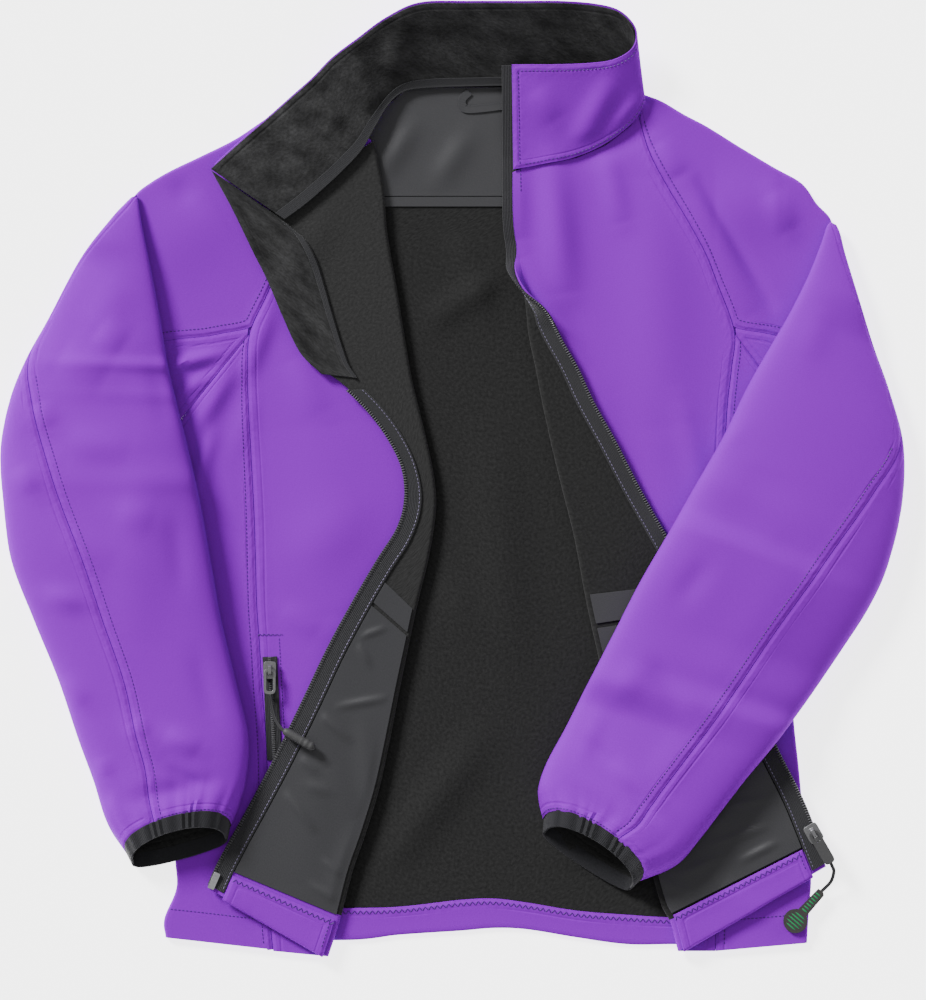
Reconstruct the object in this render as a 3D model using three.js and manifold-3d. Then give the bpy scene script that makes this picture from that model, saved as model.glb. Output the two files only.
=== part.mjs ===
import * as THREE from 'three';
import { mergeVertices } from 'three/addons/utils/BufferGeometryUtils.js';
import Module from 'manifold-3d';

// Softshell jacket laid open on a table. Millimetres: X to the right, Y to the collar, Z up.
const clothThick = 1.4;
const liningThick = 1.2;
const trimThick = 0.8;
const bindThick = 1.8;
const seamGap = 0.4;
const floorZ = clothThick / 2;
const bodyZ = 3.8;
const turnZ = 8.2;
const neckGap = 1.1;
const overCloth = clothThick / 2 + 0.4 + trimThick / 2;
const sideReturn = 30;
const sleeveClear = 2.1;
const sleeveLow = 0.775;
const mouthTop = 16;
const mouthLow = 6;
const cuffDepth = 8.5;
const collarSplit = 0.8;
const turnSpare = 3;
const axisRise = 1.9;
const bailInside = 2.8;
const bailWall = 1.1;
const bailWide = 2.4;
const frontRowCount = 24;

// Front panels: seam at the armhole and side, fold line, zip edge.
const frontLeftRows = [
  { seamX: -80, seamY: 267, foldX: -58, foldY: 252, edgeX: -153, edgeY: 189 },
  { seamX: -92, seamY: 238, foldX: -51, foldY: 216, edgeX: -146, edgeY: 171 },
  { seamX: -107, seamY: 205, foldX: -48, foldY: 183, edgeX: -137, edgeY: 151 },
  { seamX: -121, seamY: 175, foldX: -41, foldY: 142, edgeX: -126, edgeY: 123 },
  { seamX: -138, seamY: 137, foldX: -35, foldY: 105, edgeX: -111, edgeY: 93 },
  { seamX: -150, seamY: 110, foldX: -30, foldY: 76, edgeX: -83, edgeY: 73 },
  { seamX: -152, seamY: 81, foldX: -24, foldY: 51, edgeX: -61, edgeY: 52 },
  { seamX: -151, seamY: 49, foldX: -18, foldY: 26, edgeX: -45, edgeY: 30 },
  { seamX: -149, seamY: 13, foldX: -13, foldY: 0, edgeX: -35, edgeY: 8 },
  { seamX: -147, seamY: -26, foldX: -12, foldY: -23, edgeX: -33, edgeY: -15 },
  { seamX: -146, seamY: -59, foldX: -17, foldY: -56, edgeX: -39, edgeY: -37 },
  { seamX: -145, seamY: -93, foldX: -25, foldY: -89, edgeX: -54, edgeY: -61 },
  { seamX: -143, seamY: -122, foldX: -32, foldY: -122, edgeX: -71, edgeY: -90 },
  { seamX: -141, seamY: -156, foldX: -39, foldY: -156, edgeX: -90, edgeY: -125 },
  { seamX: -138, seamY: -193, foldX: -46, foldY: -192, edgeX: -109, edgeY: -165 },
  { seamX: -137, seamY: -230, foldX: -54, foldY: -229, edgeX: -129, edgeY: -206 },
  { seamX: -136, seamY: -264, foldX: -64, foldY: -262, edgeX: -147, edgeY: -240 },
  { seamX: -135, seamY: -297, foldX: -74, foldY: -291, edgeX: -163, edgeY: -269 },
  { seamX: -135, seamY: -327, foldX: -83, foldY: -326, edgeX: -173, edgeY: -288 },
  { seamX: -133, seamY: -350, foldX: -92, foldY: -354, edgeX: -180, edgeY: -304 },
];
const frontRightRows = [
  { seamX: 138, seamY: 273, foldX: 45, foldY: 229, edgeX: 45, edgeY: 229 },
  { seamX: 147, seamY: 244, foldX: 45, foldY: 209, edgeX: 45, edgeY: 209 },
  { seamX: 160, seamY: 219, foldX: 46, foldY: 188, edgeX: 46, edgeY: 188 },
  { seamX: 176, seamY: 192, foldX: 49, foldY: 170, edgeX: 50, edgeY: 170 },
  { seamX: 189, seamY: 168, foldX: 51, foldY: 157, edgeX: 57, edgeY: 158 },
  { seamX: 198, seamY: 145, foldX: 54, foldY: 134, edgeX: 66, edgeY: 136 },
  { seamX: 210, seamY: 111, foldX: 57, foldY: 108, edgeX: 78, edgeY: 108 },
  { seamX: 208, seamY: 84, foldX: 62, foldY: 84, edgeX: 91, edgeY: 84 },
  { seamX: 205, seamY: 58, foldX: 67, foldY: 58, edgeX: 103, edgeY: 58 },
  { seamX: 203, seamY: 26, foldX: 74, foldY: 26, edgeX: 119, edgeY: 29 },
  { seamX: 201, seamY: -7, foldX: 82, foldY: -7, edgeX: 137, edgeY: -6 },
  { seamX: 199, seamY: -44, foldX: 91, foldY: -43, edgeX: 158, edgeY: -43 },
  { seamX: 198, seamY: -89, foldX: 100, foldY: -91, edgeX: 180, edgeY: -81 },
  { seamX: 197, seamY: -130, foldX: 110, foldY: -136, edgeX: 201, edgeY: -119 },
  { seamX: 196, seamY: -171, foldX: 120, foldY: -182, edgeX: 220, edgeY: -156 },
  { seamX: 196, seamY: -212, foldX: 131, foldY: -230, edgeX: 238, edgeY: -197 },
  { seamX: 196, seamY: -253, foldX: 144, foldY: -275, edgeX: 257, edgeY: -235 },
  { seamX: 196, seamY: -294, foldX: 155, foldY: -314, edgeX: 267, edgeY: -259 },
  { seamX: 196, seamY: -327, foldX: 162, foldY: -328, edgeX: 272, edgeY: -272 },
  { seamX: 196, seamY: -350, foldX: 168, foldY: -350, edgeX: 278, edgeY: -287 },
];
// Side panels: each row's height at the front seam and its turn at the side.
const sideLeftRows = [
  { seamY: 109, sideX: -226, sideY: 15 },
  { seamY: 92, sideX: -224, sideY: 7 },
  { seamY: 73, sideX: -222, sideY: -3 },
  { seamY: 30, sideX: -219, sideY: -22 },
  { seamY: -7, sideX: -214, sideY: -44 },
  { seamY: -44, sideX: -210, sideY: -70 },
  { seamY: -89, sideX: -204, sideY: -102 },
  { seamY: -122, sideX: -201, sideY: -125 },
  { seamY: -157, sideX: -201, sideY: -157 },
  { seamY: -195, sideX: -203, sideY: -197 },
  { seamY: -234, sideX: -205, sideY: -238 },
  { seamY: -275, sideX: -206, sideY: -279 },
  { seamY: -301, sideX: -205, sideY: -303 },
  { seamY: -327, sideX: -214, sideY: -326 },
  { seamY: -349, sideX: -213, sideY: -340 },
];
const sideRightRows = [
  { seamY: 109, sideX: 278, sideY: 19 },
  { seamY: 92, sideX: 276, sideY: 10 },
  { seamY: 73, sideX: 274, sideY: -1 },
  { seamY: 30, sideX: 268, sideY: -20 },
  { seamY: -7, sideX: 263, sideY: -44 },
  { seamY: -44, sideX: 259, sideY: -70 },
  { seamY: -89, sideX: 256, sideY: -102 },
  { seamY: -126, sideX: 254, sideY: -135 },
  { seamY: -171, sideX: 254, sideY: -174 },
  { seamY: -212, sideX: 258, sideY: -214 },
  { seamY: -253, sideX: 262, sideY: -256 },
  { seamY: -290, sideX: 267, sideY: -291 },
  { seamY: -316, sideX: 266, sideY: -314 },
  { seamY: -333, sideX: 265, sideY: -327 },
  { seamY: -350, sideX: 264, sideY: -344 },
];
// Shoulders: raglan seam, then the seam across the sleeve; the turn along the shoulder line.
const shoulderLeftRows = [
  { seamX: -85, seamY: 264, edgeX: -97, edgeY: 288 },
  { seamX: -95, seamY: 236, edgeX: -113, edgeY: 284 },
  { seamX: -110, seamY: 206, edgeX: -137, edgeY: 270 },
  { seamX: -123, seamY: 177, edgeX: -161, edgeY: 254 },
  { seamX: -136, seamY: 146, edgeX: -187, edgeY: 241 },
  { seamX: -148, seamY: 125, edgeX: -210, edgeY: 230 },
  { seamX: -155, seamY: 115, edgeX: -225, edgeY: 221 },
  { seamX: -177, seamY: 108, edgeX: -235, edgeY: 213 },
  { seamX: -211, seamY: 104, edgeX: -244, edgeY: 200 },
  { seamX: -240, seamY: 97, edgeX: -257, edgeY: 179 },
];
const shoulderRightRows = [
  { seamX: 141, seamY: 268, edgeX: 143, edgeY: 287 },
  { seamX: 150, seamY: 246, edgeX: 156, edgeY: 282 },
  { seamX: 163, seamY: 222, edgeX: 173, edgeY: 272 },
  { seamX: 179, seamY: 195, edgeX: 190, edgeY: 263 },
  { seamX: 195, seamY: 164, edgeX: 214, edgeY: 248 },
  { seamX: 205, seamY: 136, edgeX: 239, edgeY: 233 },
  { seamX: 215, seamY: 116, edgeX: 260, edgeY: 221 },
  { seamX: 231, seamY: 110, edgeX: 271, edgeY: 206 },
  { seamX: 253, seamY: 105, edgeX: 276, edgeY: 192 },
  { seamX: 271, seamY: 100, edgeX: 281, edgeY: 174 },
];
// Lower sleeve heads, between the seam across the sleeve and the armhole.
const gussetLeftRows = [
  { topX: -151.2, lowX: -151.8 },
  { topX: -170, lowX: -164 },
  { topX: -194, lowX: -181 },
  { topX: -217, lowX: -202 },
  { topX: -236, lowX: -222 },
];
const gussetRightRows = [
  { topX: 211.4, lowX: 211.2 },
  { topX: 225, lowX: 221 },
  { topX: 242, lowX: 232 },
  { topX: 258, lowX: 250 },
  { topX: 268, lowX: 273 },
];
const backRows = [
  { rowY: 296, leftX: -36, rightX: 107 },
  { rowY: 280, leftX: -73, rightX: 133 },
  { rowY: 267, leftX: -98, rightX: 147 },
  { rowY: 247, leftX: -118, rightX: 168 },
  { rowY: 227, leftX: -139, rightX: 189 },
  { rowY: 207, leftX: -161, rightX: 210 },
  { rowY: 190, leftX: -182, rightX: 228 },
  { rowY: 173, leftX: -200, rightX: 244 },
  { rowY: 134, leftX: -202, rightX: 248 },
  { rowY: 75, leftX: -198, rightX: 247 },
  { rowY: 23, leftX: -190, rightX: 243 },
  { rowY: -29, leftX: -183, rightX: 232 },
  { rowY: -74, leftX: -176, rightX: 225 },
  { rowY: -119, leftX: -168, rightX: 222 },
  { rowY: -163, leftX: -168, rightX: 222 },
  { rowY: -208, leftX: -170, rightX: 223 },
  { rowY: -253, leftX: -172, rightX: 228 },
  { rowY: -290, leftX: -172, rightX: 232 },
  { rowY: -327, leftX: -179, rightX: 232 },
];
const hemRows = [
  { acrossX: -176, topY: -318, lowY: -340 },
  { acrossX: -80, topY: -318, lowY: -342 },
  { acrossX: -39, topY: -317, lowY: -338 },
  { acrossX: 6, topY: -312, lowY: -335 },
  { acrossX: 31, topY: -311, lowY: -333 },
  { acrossX: 56, topY: -314, lowY: -334 },
  { acrossX: 93, topY: -320, lowY: -340 },
  { acrossX: 130, topY: -323, lowY: -345 },
  { acrossX: 166, topY: -325, lowY: -345 },
  { acrossX: 230, topY: -325, lowY: -345 },
];
// Sleeves: outer edge, inner edge, share of the width at the long seam, height of the cloth.
const sleeveLeftRows = [
  { outX: -238, outY: 210, inX: -235, inY: 212, seam: 0, loft: 2.8 },
  { outX: -243, outY: 205, inX: -234, inY: 207, seam: 0, loft: 5 },
  { outX: -253, outY: 194, inX: -231, inY: 189, seam: 0, loft: 9 },
  { outX: -276, outY: 164, inX: -225, inY: 160, seam: 0, loft: 13 },
  { outX: -300, outY: 119, inX: -217, inY: 118, seam: 0, loft: 17 },
  { outX: -316, outY: 90, inX: -212, inY: 87, seam: 0.02, loft: 20 },
  { outX: -328, outY: 60, inX: -205, inY: 57, seam: 0.13, loft: 22 },
  { outX: -335, outY: 23, inX: -197, inY: 25, seam: 0.23, loft: 24 },
  { outX: -333, outY: -15, inX: -188, inY: -15, seam: 0.29, loft: 25 },
  { outX: -327, outY: -59, inX: -180, inY: -59, seam: 0.36, loft: 25 },
  { outX: -310, outY: -104, inX: -172, inY: -104, seam: 0.37, loft: 24 },
  { outX: -292, outY: -148, inX: -161, inY: -150, seam: 0.37, loft: 24 },
  { outX: -277, outY: -193, inX: -152, inY: -189, seam: 0.34, loft: 24 },
  { outX: -266, outY: -223, inX: -153, inY: -218, seam: 0.34, loft: 24 },
  { outX: -256, outY: -254, inX: -158, inY: -238, seam: 0.34, loft: 25 },
  { outX: -242, outY: -276, inX: -165, inY: -255, seam: 0.33, loft: 26 },
];
const sleeveRightRows = [
  { outX: 285, outY: 190, inX: 282, inY: 192, seam: 0, loft: 2.8 },
  { outX: 288, outY: 183, inX: 279, inY: 188, seam: 0, loft: 5 },
  { outX: 292, outY: 167, inX: 275, inY: 176, seam: 0, loft: 8 },
  { outX: 302, outY: 134, inX: 265, inY: 151, seam: 0, loft: 13 },
  { outX: 313, outY: 99, inX: 251, inY: 123, seam: 0, loft: 17 },
  { outX: 325, outY: 65, inX: 237, inY: 99, seam: 0, loft: 20 },
  { outX: 335, outY: 26, inX: 220, inY: 69, seam: 0.02, loft: 23 },
  { outX: 334, outY: -17, inX: 202, inY: 32, seam: 0.16, loft: 25 },
  { outX: 324, outY: -61, inX: 182, inY: -3, seam: 0.26, loft: 26 },
  { outX: 310, outY: -93, inX: 162, inY: -38, seam: 0.3, loft: 26 },
  { outX: 289, outY: -126, inX: 140, inY: -76, seam: 0.32, loft: 25 },
  { outX: 265, outY: -161, inX: 121, inY: -113, seam: 0.33, loft: 24 },
  { outX: 242, outY: -192, inX: 103, inY: -148, seam: 0.335, loft: 24 },
  { outX: 218, outY: -221, inX: 85, inY: -184, seam: 0.34, loft: 24 },
  { outX: 198, outY: -247, inX: 71, inY: -210, seam: 0.34, loft: 24 },
  { outX: 185, outY: -264, inX: 65, inY: -228, seam: 0.34, loft: 25 },
  { outX: 167, outY: -284, inX: 66, inY: -240, seam: 0.35, loft: 26 },
  { outX: 140, outY: -296, inX: 69, inY: -250, seam: 0.36, loft: 26 },
];
// Collar: neck seam and top edge from the opened left end, round the back, to the zip end.
const collarRows = [
  { neckX: -126, neckY: 195, neckZ: 10.9, topX: -180, topY: 232, topZ: 11.5 },
  { neckX: -111, neckY: 206, neckZ: 10.9, topX: -158, topY: 252, topZ: 11.5 },
  { neckX: -97, neckY: 218, neckZ: 10.9, topX: -137, topY: 270, topZ: 12 },
  { neckX: -82, neckY: 232, neckZ: 10.9, topX: -120, topY: 285, topZ: 14 },
  { neckX: -68, neckY: 247, neckZ: 10.9, topX: -104, topY: 299, topZ: 17 },
  { neckX: -58, neckY: 264, neckZ: 10, topX: -89, topY: 314, topZ: 21 },
  { neckX: -48, neckY: 280, neckZ: 7.5, topX: -70, topY: 328, topZ: 26 },
  { neckX: -36, neckY: 290, neckZ: 5, topX: -49, topY: 343, topZ: 30 },
  { neckX: -18, neckY: 293, neckZ: 3.8, topX: -24, topY: 354, topZ: 33 },
  { neckX: 10, neckY: 294, neckZ: 3.6, topX: 13, topY: 355, topZ: 34 },
  { neckX: 39, neckY: 294.5, neckZ: 3.6, topX: 51, topY: 355, topZ: 34 },
  { neckX: 73, neckY: 294, neckZ: 3.6, topX: 80, topY: 355, topZ: 34 },
  { neckX: 106, neckY: 293, neckZ: 3.8, topX: 106, topY: 353, topZ: 33 },
  { neckX: 129, neckY: 291, neckZ: 5, topX: 124, topY: 348, topZ: 32 },
  { neckX: 140, neckY: 287, neckZ: 7.4, topX: 135, topY: 336, topZ: 30 },
  { neckX: 142, neckY: 279, neckZ: 8.2, topX: 134, topY: 322, topZ: 28 },
  { neckX: 134, neckY: 266, neckZ: 7.4, topX: 121, topY: 313, topZ: 26 },
  { neckX: 113, neckY: 250, neckZ: 6.2, topX: 103, topY: 310, topZ: 24 },
  { neckX: 90, neckY: 240, neckZ: 5.6, topX: 78, topY: 309, topZ: 22 },
  { neckX: 68, neckY: 235, neckZ: 5.4, topX: 60, topY: 309, topZ: 20 },
  { neckX: 45.5, neckY: 231, neckZ: 5.2, topX: 44.5, topY: 309, topZ: 18 },
];
const guardRows = [
  { outX: -179, outY: 230.5, inX: -127, inY: 194.4 },
  { outX: -170, outY: 214, inX: -117, inY: 186 },
  { outX: -162, outY: 199, inX: -108, inY: 178 },
  { outX: -149, outY: 172, inX: -100, inY: 163 },
  { outX: -137, outY: 148, inX: -94, inY: 144 },
  { outX: -126, outY: 122, inX: -86, inY: 116 },
  { outX: -113, outY: 95, inX: -77, inY: 88 },
  { outX: -97, outY: 79, inX: -70, inY: 76 },
];
// Soft folds of the lower layers and of the sleeves: ridge line, half width, height.
const bodyFolds = [
  { fromX: 45, fromY: 245, toX: 48, toY: 175, wide: 26, high: 4.2 },
  { fromX: 74, fromY: 205, toX: 86, toY: 80, wide: 16, high: 3.4 },
  { fromX: 148, fromY: 225, toX: 160, toY: 40, wide: 24, high: 4.4 },
  { fromX: 196, fromY: 205, toX: 245, toY: 205, wide: 26, high: 3.2 },
  { fromX: -170, fromY: 200, toX: -225, toY: 170, wide: 30, high: 2.8 },
  { fromX: -166, fromY: 98, toX: -206, toY: 72, wide: 9, high: 3 },
  { fromX: -172, fromY: 78, toX: -192, toY: 38, wide: 8, high: 2.4 },
  { fromX: -100, fromY: 40, toX: -86, toY: -100, wide: 34, high: 3 },
  { fromX: -96, fromY: -160, toX: -108, toY: -300, wide: 20, high: 1.6 },
  { fromX: 135, fromY: -120, toX: 175, toY: -230, wide: 24, high: 2 },
];
const sleeveFolds = [
  { fromX: -262, fromY: 68, toX: -225, toY: 52, wide: 22, high: -3.6 },
  { fromX: -310, fromY: -2, toX: -296, toY: -20, wide: 16, high: -3 },
  { fromX: -300, fromY: -92, toX: -268, toY: -104, wide: 16, high: -3.6 },
  { fromX: -286, fromY: -158, toX: -262, toY: -178, wide: 12, high: -3.2 },
  { fromX: -196, fromY: -196, toX: -184, toY: -236, wide: 11, high: -3.4 },
  { fromX: -240, fromY: -238, toX: -172, toY: -222, wide: 8, high: -3 },
  { fromX: -228, fromY: 20, toX: -236, toY: -120, wide: 20, high: 2.2 },
  { fromX: 152, fromY: -140, toX: 128, toY: -168, wide: 20, high: -3.4 },
  { fromX: 230, fromY: 10, toX: 216, toY: -40, wide: 24, high: -2.4 },
  { fromX: 80, fromY: -222, toX: 132, toY: -262, wide: 9, high: -3.2 },
  { fromX: 120, fromY: -200, toX: 160, toY: -244, wide: 10, high: -2.4 },
  { fromX: 262, fromY: -60, toX: 200, toY: -150, wide: 22, high: 2.2 },
];
// Side outline of the body under the sleeves, left and right.
const outlineRows = [
  { rowY: 215, leftX: -246, rightX: 292 },
  { rowY: 179, leftX: -257, rightX: 298 },
  { rowY: 140, leftX: -254, rightX: 296 },
  { rowY: 97, leftX: -242, rightX: 288 },
  { rowY: 60, leftX: -234, rightX: 284 },
  { rowY: 15, leftX: -226, rightX: 278 },
  { rowY: -22, leftX: -219, rightX: 268 },
  { rowY: -70, leftX: -210, rightX: 259 },
  { rowY: -125, leftX: -201, rightX: 254 },
  { rowY: -175, leftX: -202, rightX: 254 },
  { rowY: -256, leftX: -206, rightX: 262 },
  { rowY: -303, leftX: -206, rightX: 267 },
  { rowY: -345, leftX: -214, rightX: 266 },
];

const cloth = { purple: 0x7a35b0, fleece: 0x2c2c2e, woven: 0x47474b, binding: 0x1d1d20 };
const hard = { steel: 0x9a9ca0, dark: 0x2a2a2d, rubber: 0x55585a };

const clamp = (value, low, high) => Math.min(Math.max(value, low), high);
const soft = (value) => {
  const s = clamp(value, 0, 1);
  return s * s * (3 - 2 * s);
};
const at = (x, y, z) => new THREE.Vector3(x, y, z);

// Smooth row of a table at share t of its length.
function rowAt(rows, t) {
  const place = clamp(t, 0, 1) * (rows.length - 1);
  const i = Math.min(Math.floor(place), rows.length - 2);
  const f = place - i;
  const out = {};
  for (const key of Object.keys(rows[0])) {
    const b = rows[i][key];
    const c = rows[i + 1][key];
    const a = i > 0 ? rows[i - 1][key] : 2 * b - c;
    const d = i + 2 < rows.length ? rows[i + 2][key] : 2 * c - b;
    out[key] = b + 0.5 * f * (c - a + f * (2 * a - 5 * b + 4 * c - d + f * (3 * (b - c) + d - a)));
  }
  return out;
}

// Value of a column against another column that rises or falls steadily.
function lookUp(rows, keyIn, keyOut, value) {
  const up = rows[rows.length - 1][keyIn] > rows[0][keyIn];
  let i = 0;
  while (i < rows.length - 2 && (up ? rows[i + 1][keyIn] < value : rows[i + 1][keyIn] > value)) {
    i += 1;
  }
  const span = rows[i + 1][keyIn] - rows[i][keyIn];
  const f = clamp((value - rows[i][keyIn]) / span, 0, 1);
  return rows[i][keyOut] + f * (rows[i + 1][keyOut] - rows[i][keyOut]);
}

function denseRows(rows, count) {
  return Array.from({ length: count + 1 }, (_, k) => rowAt(rows, k / count));
}

// Height of a set of folds at one place.
function foldHeight(folds, x, y) {
  let sum = 0;
  for (const f of folds) {
    const dx = f.toX - f.fromX;
    const dy = f.toY - f.fromY;
    const t = clamp(((x - f.fromX) * dx + (y - f.fromY) * dy) / (dx * dx + dy * dy), 0, 1);
    const away = Math.hypot(x - f.fromX - t * dx, y - f.fromY - t * dy);
    sum += f.high * Math.exp(-((away / f.wide) ** 2));
  }
  return sum;
}
const bodyTop = (x, y) => bodyZ + foldHeight(bodyFolds, x, y);
const turnTop = (x, y) => turnZ + foldHeight(bodyFolds, x, y);
const onFloor = () => floorZ;

// Wall about a grid of points, moved along its normals by shift.
function wall(grid, thick, shift = 0, ring = false) {
  const rows = grid.length;
  const cols = grid[0].length;
  const wrap = (i) => (ring ? (i + cols) % cols : clamp(i, 0, cols - 1));
  const places = [];
  for (const side of [shift + thick / 2, shift - thick / 2]) {
    for (let j = 0; j < rows; j += 1) {
      for (let i = 0; i < cols; i += 1) {
        const du = grid[j][wrap(i + 1)].clone().sub(grid[j][wrap(i - 1)]);
        const dv = grid[Math.min(j + 1, rows - 1)][i].clone().sub(grid[Math.max(j - 1, 0)][i]);
        const n = du.cross(dv).normalize();
        const p = grid[j][i].clone().addScaledVector(n, side);
        places.push(p.x, p.y, p.z);
      }
    }
  }
  const id = (layer, j, i) => (layer * rows + j) * cols + wrap(i);
  const faces = [];
  const quad = (a, b, c, d) => faces.push(a, b, c, a, c, d);
  const spans = ring ? cols : cols - 1;
  for (let j = 0; j < rows - 1; j += 1) {
    for (let i = 0; i < spans; i += 1) {
      quad(id(0, j, i), id(0, j, i + 1), id(0, j + 1, i + 1), id(0, j + 1, i));
      quad(id(1, j, i), id(1, j + 1, i), id(1, j + 1, i + 1), id(1, j, i + 1));
    }
  }
  for (let i = 0; i < spans; i += 1) {
    quad(id(0, 0, i), id(1, 0, i), id(1, 0, i + 1), id(0, 0, i + 1));
    const j = rows - 1;
    quad(id(0, j, i), id(0, j, i + 1), id(1, j, i + 1), id(1, j, i));
  }
  for (let j = 0; j < rows - 1 && !ring; j += 1) {
    quad(id(0, j, 0), id(0, j + 1, 0), id(1, j + 1, 0), id(1, j, 0));
    const i = cols - 1;
    quad(id(0, j, i), id(1, j, i), id(1, j + 1, i), id(0, j + 1, i));
  }
  return solid(places, faces);
}

function solid(places, faces) {
  const geometry = new THREE.BufferGeometry();
  geometry.setAttribute('position', new THREE.Float32BufferAttribute(places, 3));
  let volume = 0;
  const p = (k) => at(places[3 * k], places[3 * k + 1], places[3 * k + 2]);
  for (let k = 0; k < faces.length; k += 3) {
    volume += p(faces[k]).dot(p(faces[k + 1]).cross(p(faces[k + 2])));
  }
  const order = volume > 0 ? faces : faces.slice().reverse();
  geometry.setIndex(order);
  geometry.computeVertexNormals();
  return geometry;
}

// Section of a folded sheet: leg from a to e, a turn, leg to b.
function foldSection(a, e, b, low, high, always, bow = () => 0) {
  const ahead = e.clone().sub(a).setZ(0).normalize();
  const width = Math.hypot(b.x - e.x, b.y - e.y);
  const share = always ? 1 : soft(width / 20);
  const angle = Math.PI * share;
  const guess = Math.abs(high(e.x, e.y) - low(e.x, e.y)) / 2;
  const spare = (1 - share) * turnSpare;
  const flat = share > 0.999 ? 0 : Math.max(width, turnSpare) - width;
  const pull = (guess + clothThick / 2) * Math.sin(Math.min(angle, Math.PI / 2)) + spare + flat;
  const root = e.clone().addScaledVector(ahead, -pull);
  const rise = (high(root.x, root.y) - low(root.x, root.y)) / 2;
  const r = Math.abs(rise);
  const back = width > 1 ? b.clone().sub(e).setZ(0).normalize() : ahead.clone().negate();
  const turn = (s) => {
    const alpha = angle * s;
    const z = low(root.x, root.y) + rise * (1 - Math.cos(alpha));
    const p = root.clone().addScaledVector(ahead, r * Math.sin(Math.min(alpha, Math.PI / 2)) + spare * s);
    if (alpha > Math.PI / 2) {
      p.addScaledVector(back, r * (1 - Math.sin(alpha)));
    }
    return p.setZ(z);
  };
  const end = turn(1);
  const level = angle < Math.PI / 2 ? ahead : back;
  const reach = share > 0.999 ? Math.hypot(b.x - end.x, b.y - end.y) : Math.max(width, turnSpare);
  const goal = b.clone().sub(end).setZ(0).normalize();
  const way = share > 0.999 ? goal : level.clone().multiplyScalar(Math.abs(Math.cos(angle)));
  const lift = Math.sign(rise) * Math.sin(angle);
  const first = (s) => {
    const p = a.clone().lerp(root, s);
    p.y -= bow(s);
    return p.setZ(low(p.x, p.y));
  };
  const last = (s) => {
    const p = end.clone().addScaledVector(way, reach * s);
    const follow = high(p.x, p.y) - high(end.x, end.y);
    return p.setZ(end.z + lift * reach * s + follow * share);
  };
  return { first, turn, last, reach };
}

// How far the top of the closed front drops to follow the collar's neck seam.
function neckBow(s) {
  const top = frontRightRows[0];
  const x = top.seamX + (top.foldX - top.seamX) * s;
  const y = top.seamY + (top.foldY - top.seamY) * s;
  const neck = lookUp(collarRows.slice(15), 'neckX', 'neckY', x);
  return Math.max(0, y - neck + neckGap) * soft(s / 0.06) * soft((1 - s) / 0.1);
}

// Front panel at share v of its length.
function frontSection(rows, v, side) {
  const r = rowAt(rows, v);
  const a = at(r.seamX - side * seamGap * 0.6, r.seamY, 0);
  const fade = side > 0 ? 1 - soft(v / 0.16) : 0;
  const bow = (s) => fade * neckBow(s);
  return foldSection(a, at(r.foldX, r.foldY, 0), at(r.edgeX, r.edgeY, 0), bodyTop, turnTop, false, bow);
}

function sheetGrid(sectionAt, rowCount, counts) {
  const grid = [];
  for (let j = 0; j <= rowCount; j += 1) {
    const s = sectionAt(j / rowCount);
    const row = [];
    for (let i = 0; i <= counts.first; i += 1) {
      row.push(s.first(i / counts.first));
    }
    for (let i = 1; i <= counts.turn; i += 1) {
      row.push(s.turn(i / counts.turn));
    }
    for (let i = 1; i <= counts.last; i += 1) {
      row.push(s.last(i / counts.last));
    }
    grid.push(row);
  }
  return grid;
}

// Side panel, shoulder and lower sleeve head, all on the body's lower layer.
function sideSection(rows, front, v, side) {
  const r = rowAt(rows, v);
  const seamX = lookUp(front, 'seamY', 'seamX', r.seamY) + side * seamGap * 1.3;
  const b = at(r.sideX - side * sideReturn, r.sideY, 0);
  return foldSection(at(seamX, r.seamY, 0), at(r.sideX, r.sideY, 0), b, bodyTop, onFloor, true);
}

function shoulderSection(rows, front, v, side) {
  const r = rowAt(rows, v);
  const onRaglan = soft((r.seamY - 109) / 6);
  const line = lookUp(front, 'seamY', 'seamX', r.seamY) + side * seamGap * 2;
  const a = at(r.seamX + (line - r.seamX) * onRaglan, r.seamY, 0);
  const e = at(r.edgeX, r.edgeY, 0);
  const length = Math.hypot(e.x - a.x, e.y - a.y);
  const b = e.clone().lerp(a, clamp(11 / length, 0.35, 0.8));
  return foldSection(a, e, b, bodyTop, onFloor, true);
}

function gussetGrid(rows, shoulder, sideRow, seamX) {
  const slope = (sideRow.sideY - sideRow.seamY) / (sideRow.sideX - seamX);
  const grid = [];
  for (let j = 0; j <= 6; j += 1) {
    const r = rowAt(rows, j / 6);
    const topY = lookUp(shoulder, 'x', 'y', r.topX) - 0.7;
    const lowY = sideRow.seamY + slope * (r.lowX - seamX) + 1.2;
    const row = [];
    for (let i = 0; i <= 4; i += 1) {
      const x = r.topX + (r.lowX - r.topX) * (i / 4);
      const y = topY + (lowY - topY) * (i / 4);
      row.push(at(x, y, bodyTop(x, y)));
    }
    grid.push(row);
  }
  return grid;
}

// Height that the underside of a sleeve rests on.
function restLeft(x, y) {
  const out = lookUp(outlineRows, 'rowY', 'leftX', y) - 6;
  const drop = 1 - soft((out - x) / 18);
  return floorZ + (bodyTop(x, y) + sleeveClear - floorZ) * drop;
}
function restRight(x, y) {
  const out = lookUp(outlineRows, 'rowY', 'rightX', y) + 7;
  const fold = lookUp(frontRightRows, 'foldY', 'foldX', y);
  const zip = lookUp(frontRightRows, 'edgeY', 'edgeX', y);
  const drop = 1 - soft((x - out) / 18);
  const onTurn = (1 - soft((x - zip - 12) / 18)) * (1 - soft((fold - 5 - x) / 18));
  const onBody = 1 - soft((fold - 5 - x) / 18);
  const body = 2.9 + (bodyTop(x, y) + sleeveClear - 2.9) * onBody;
  const layer = body + (turnZ - bodyZ + 2.8) * onTurn;
  return floorZ + (layer - floorZ) * drop;
}

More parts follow.
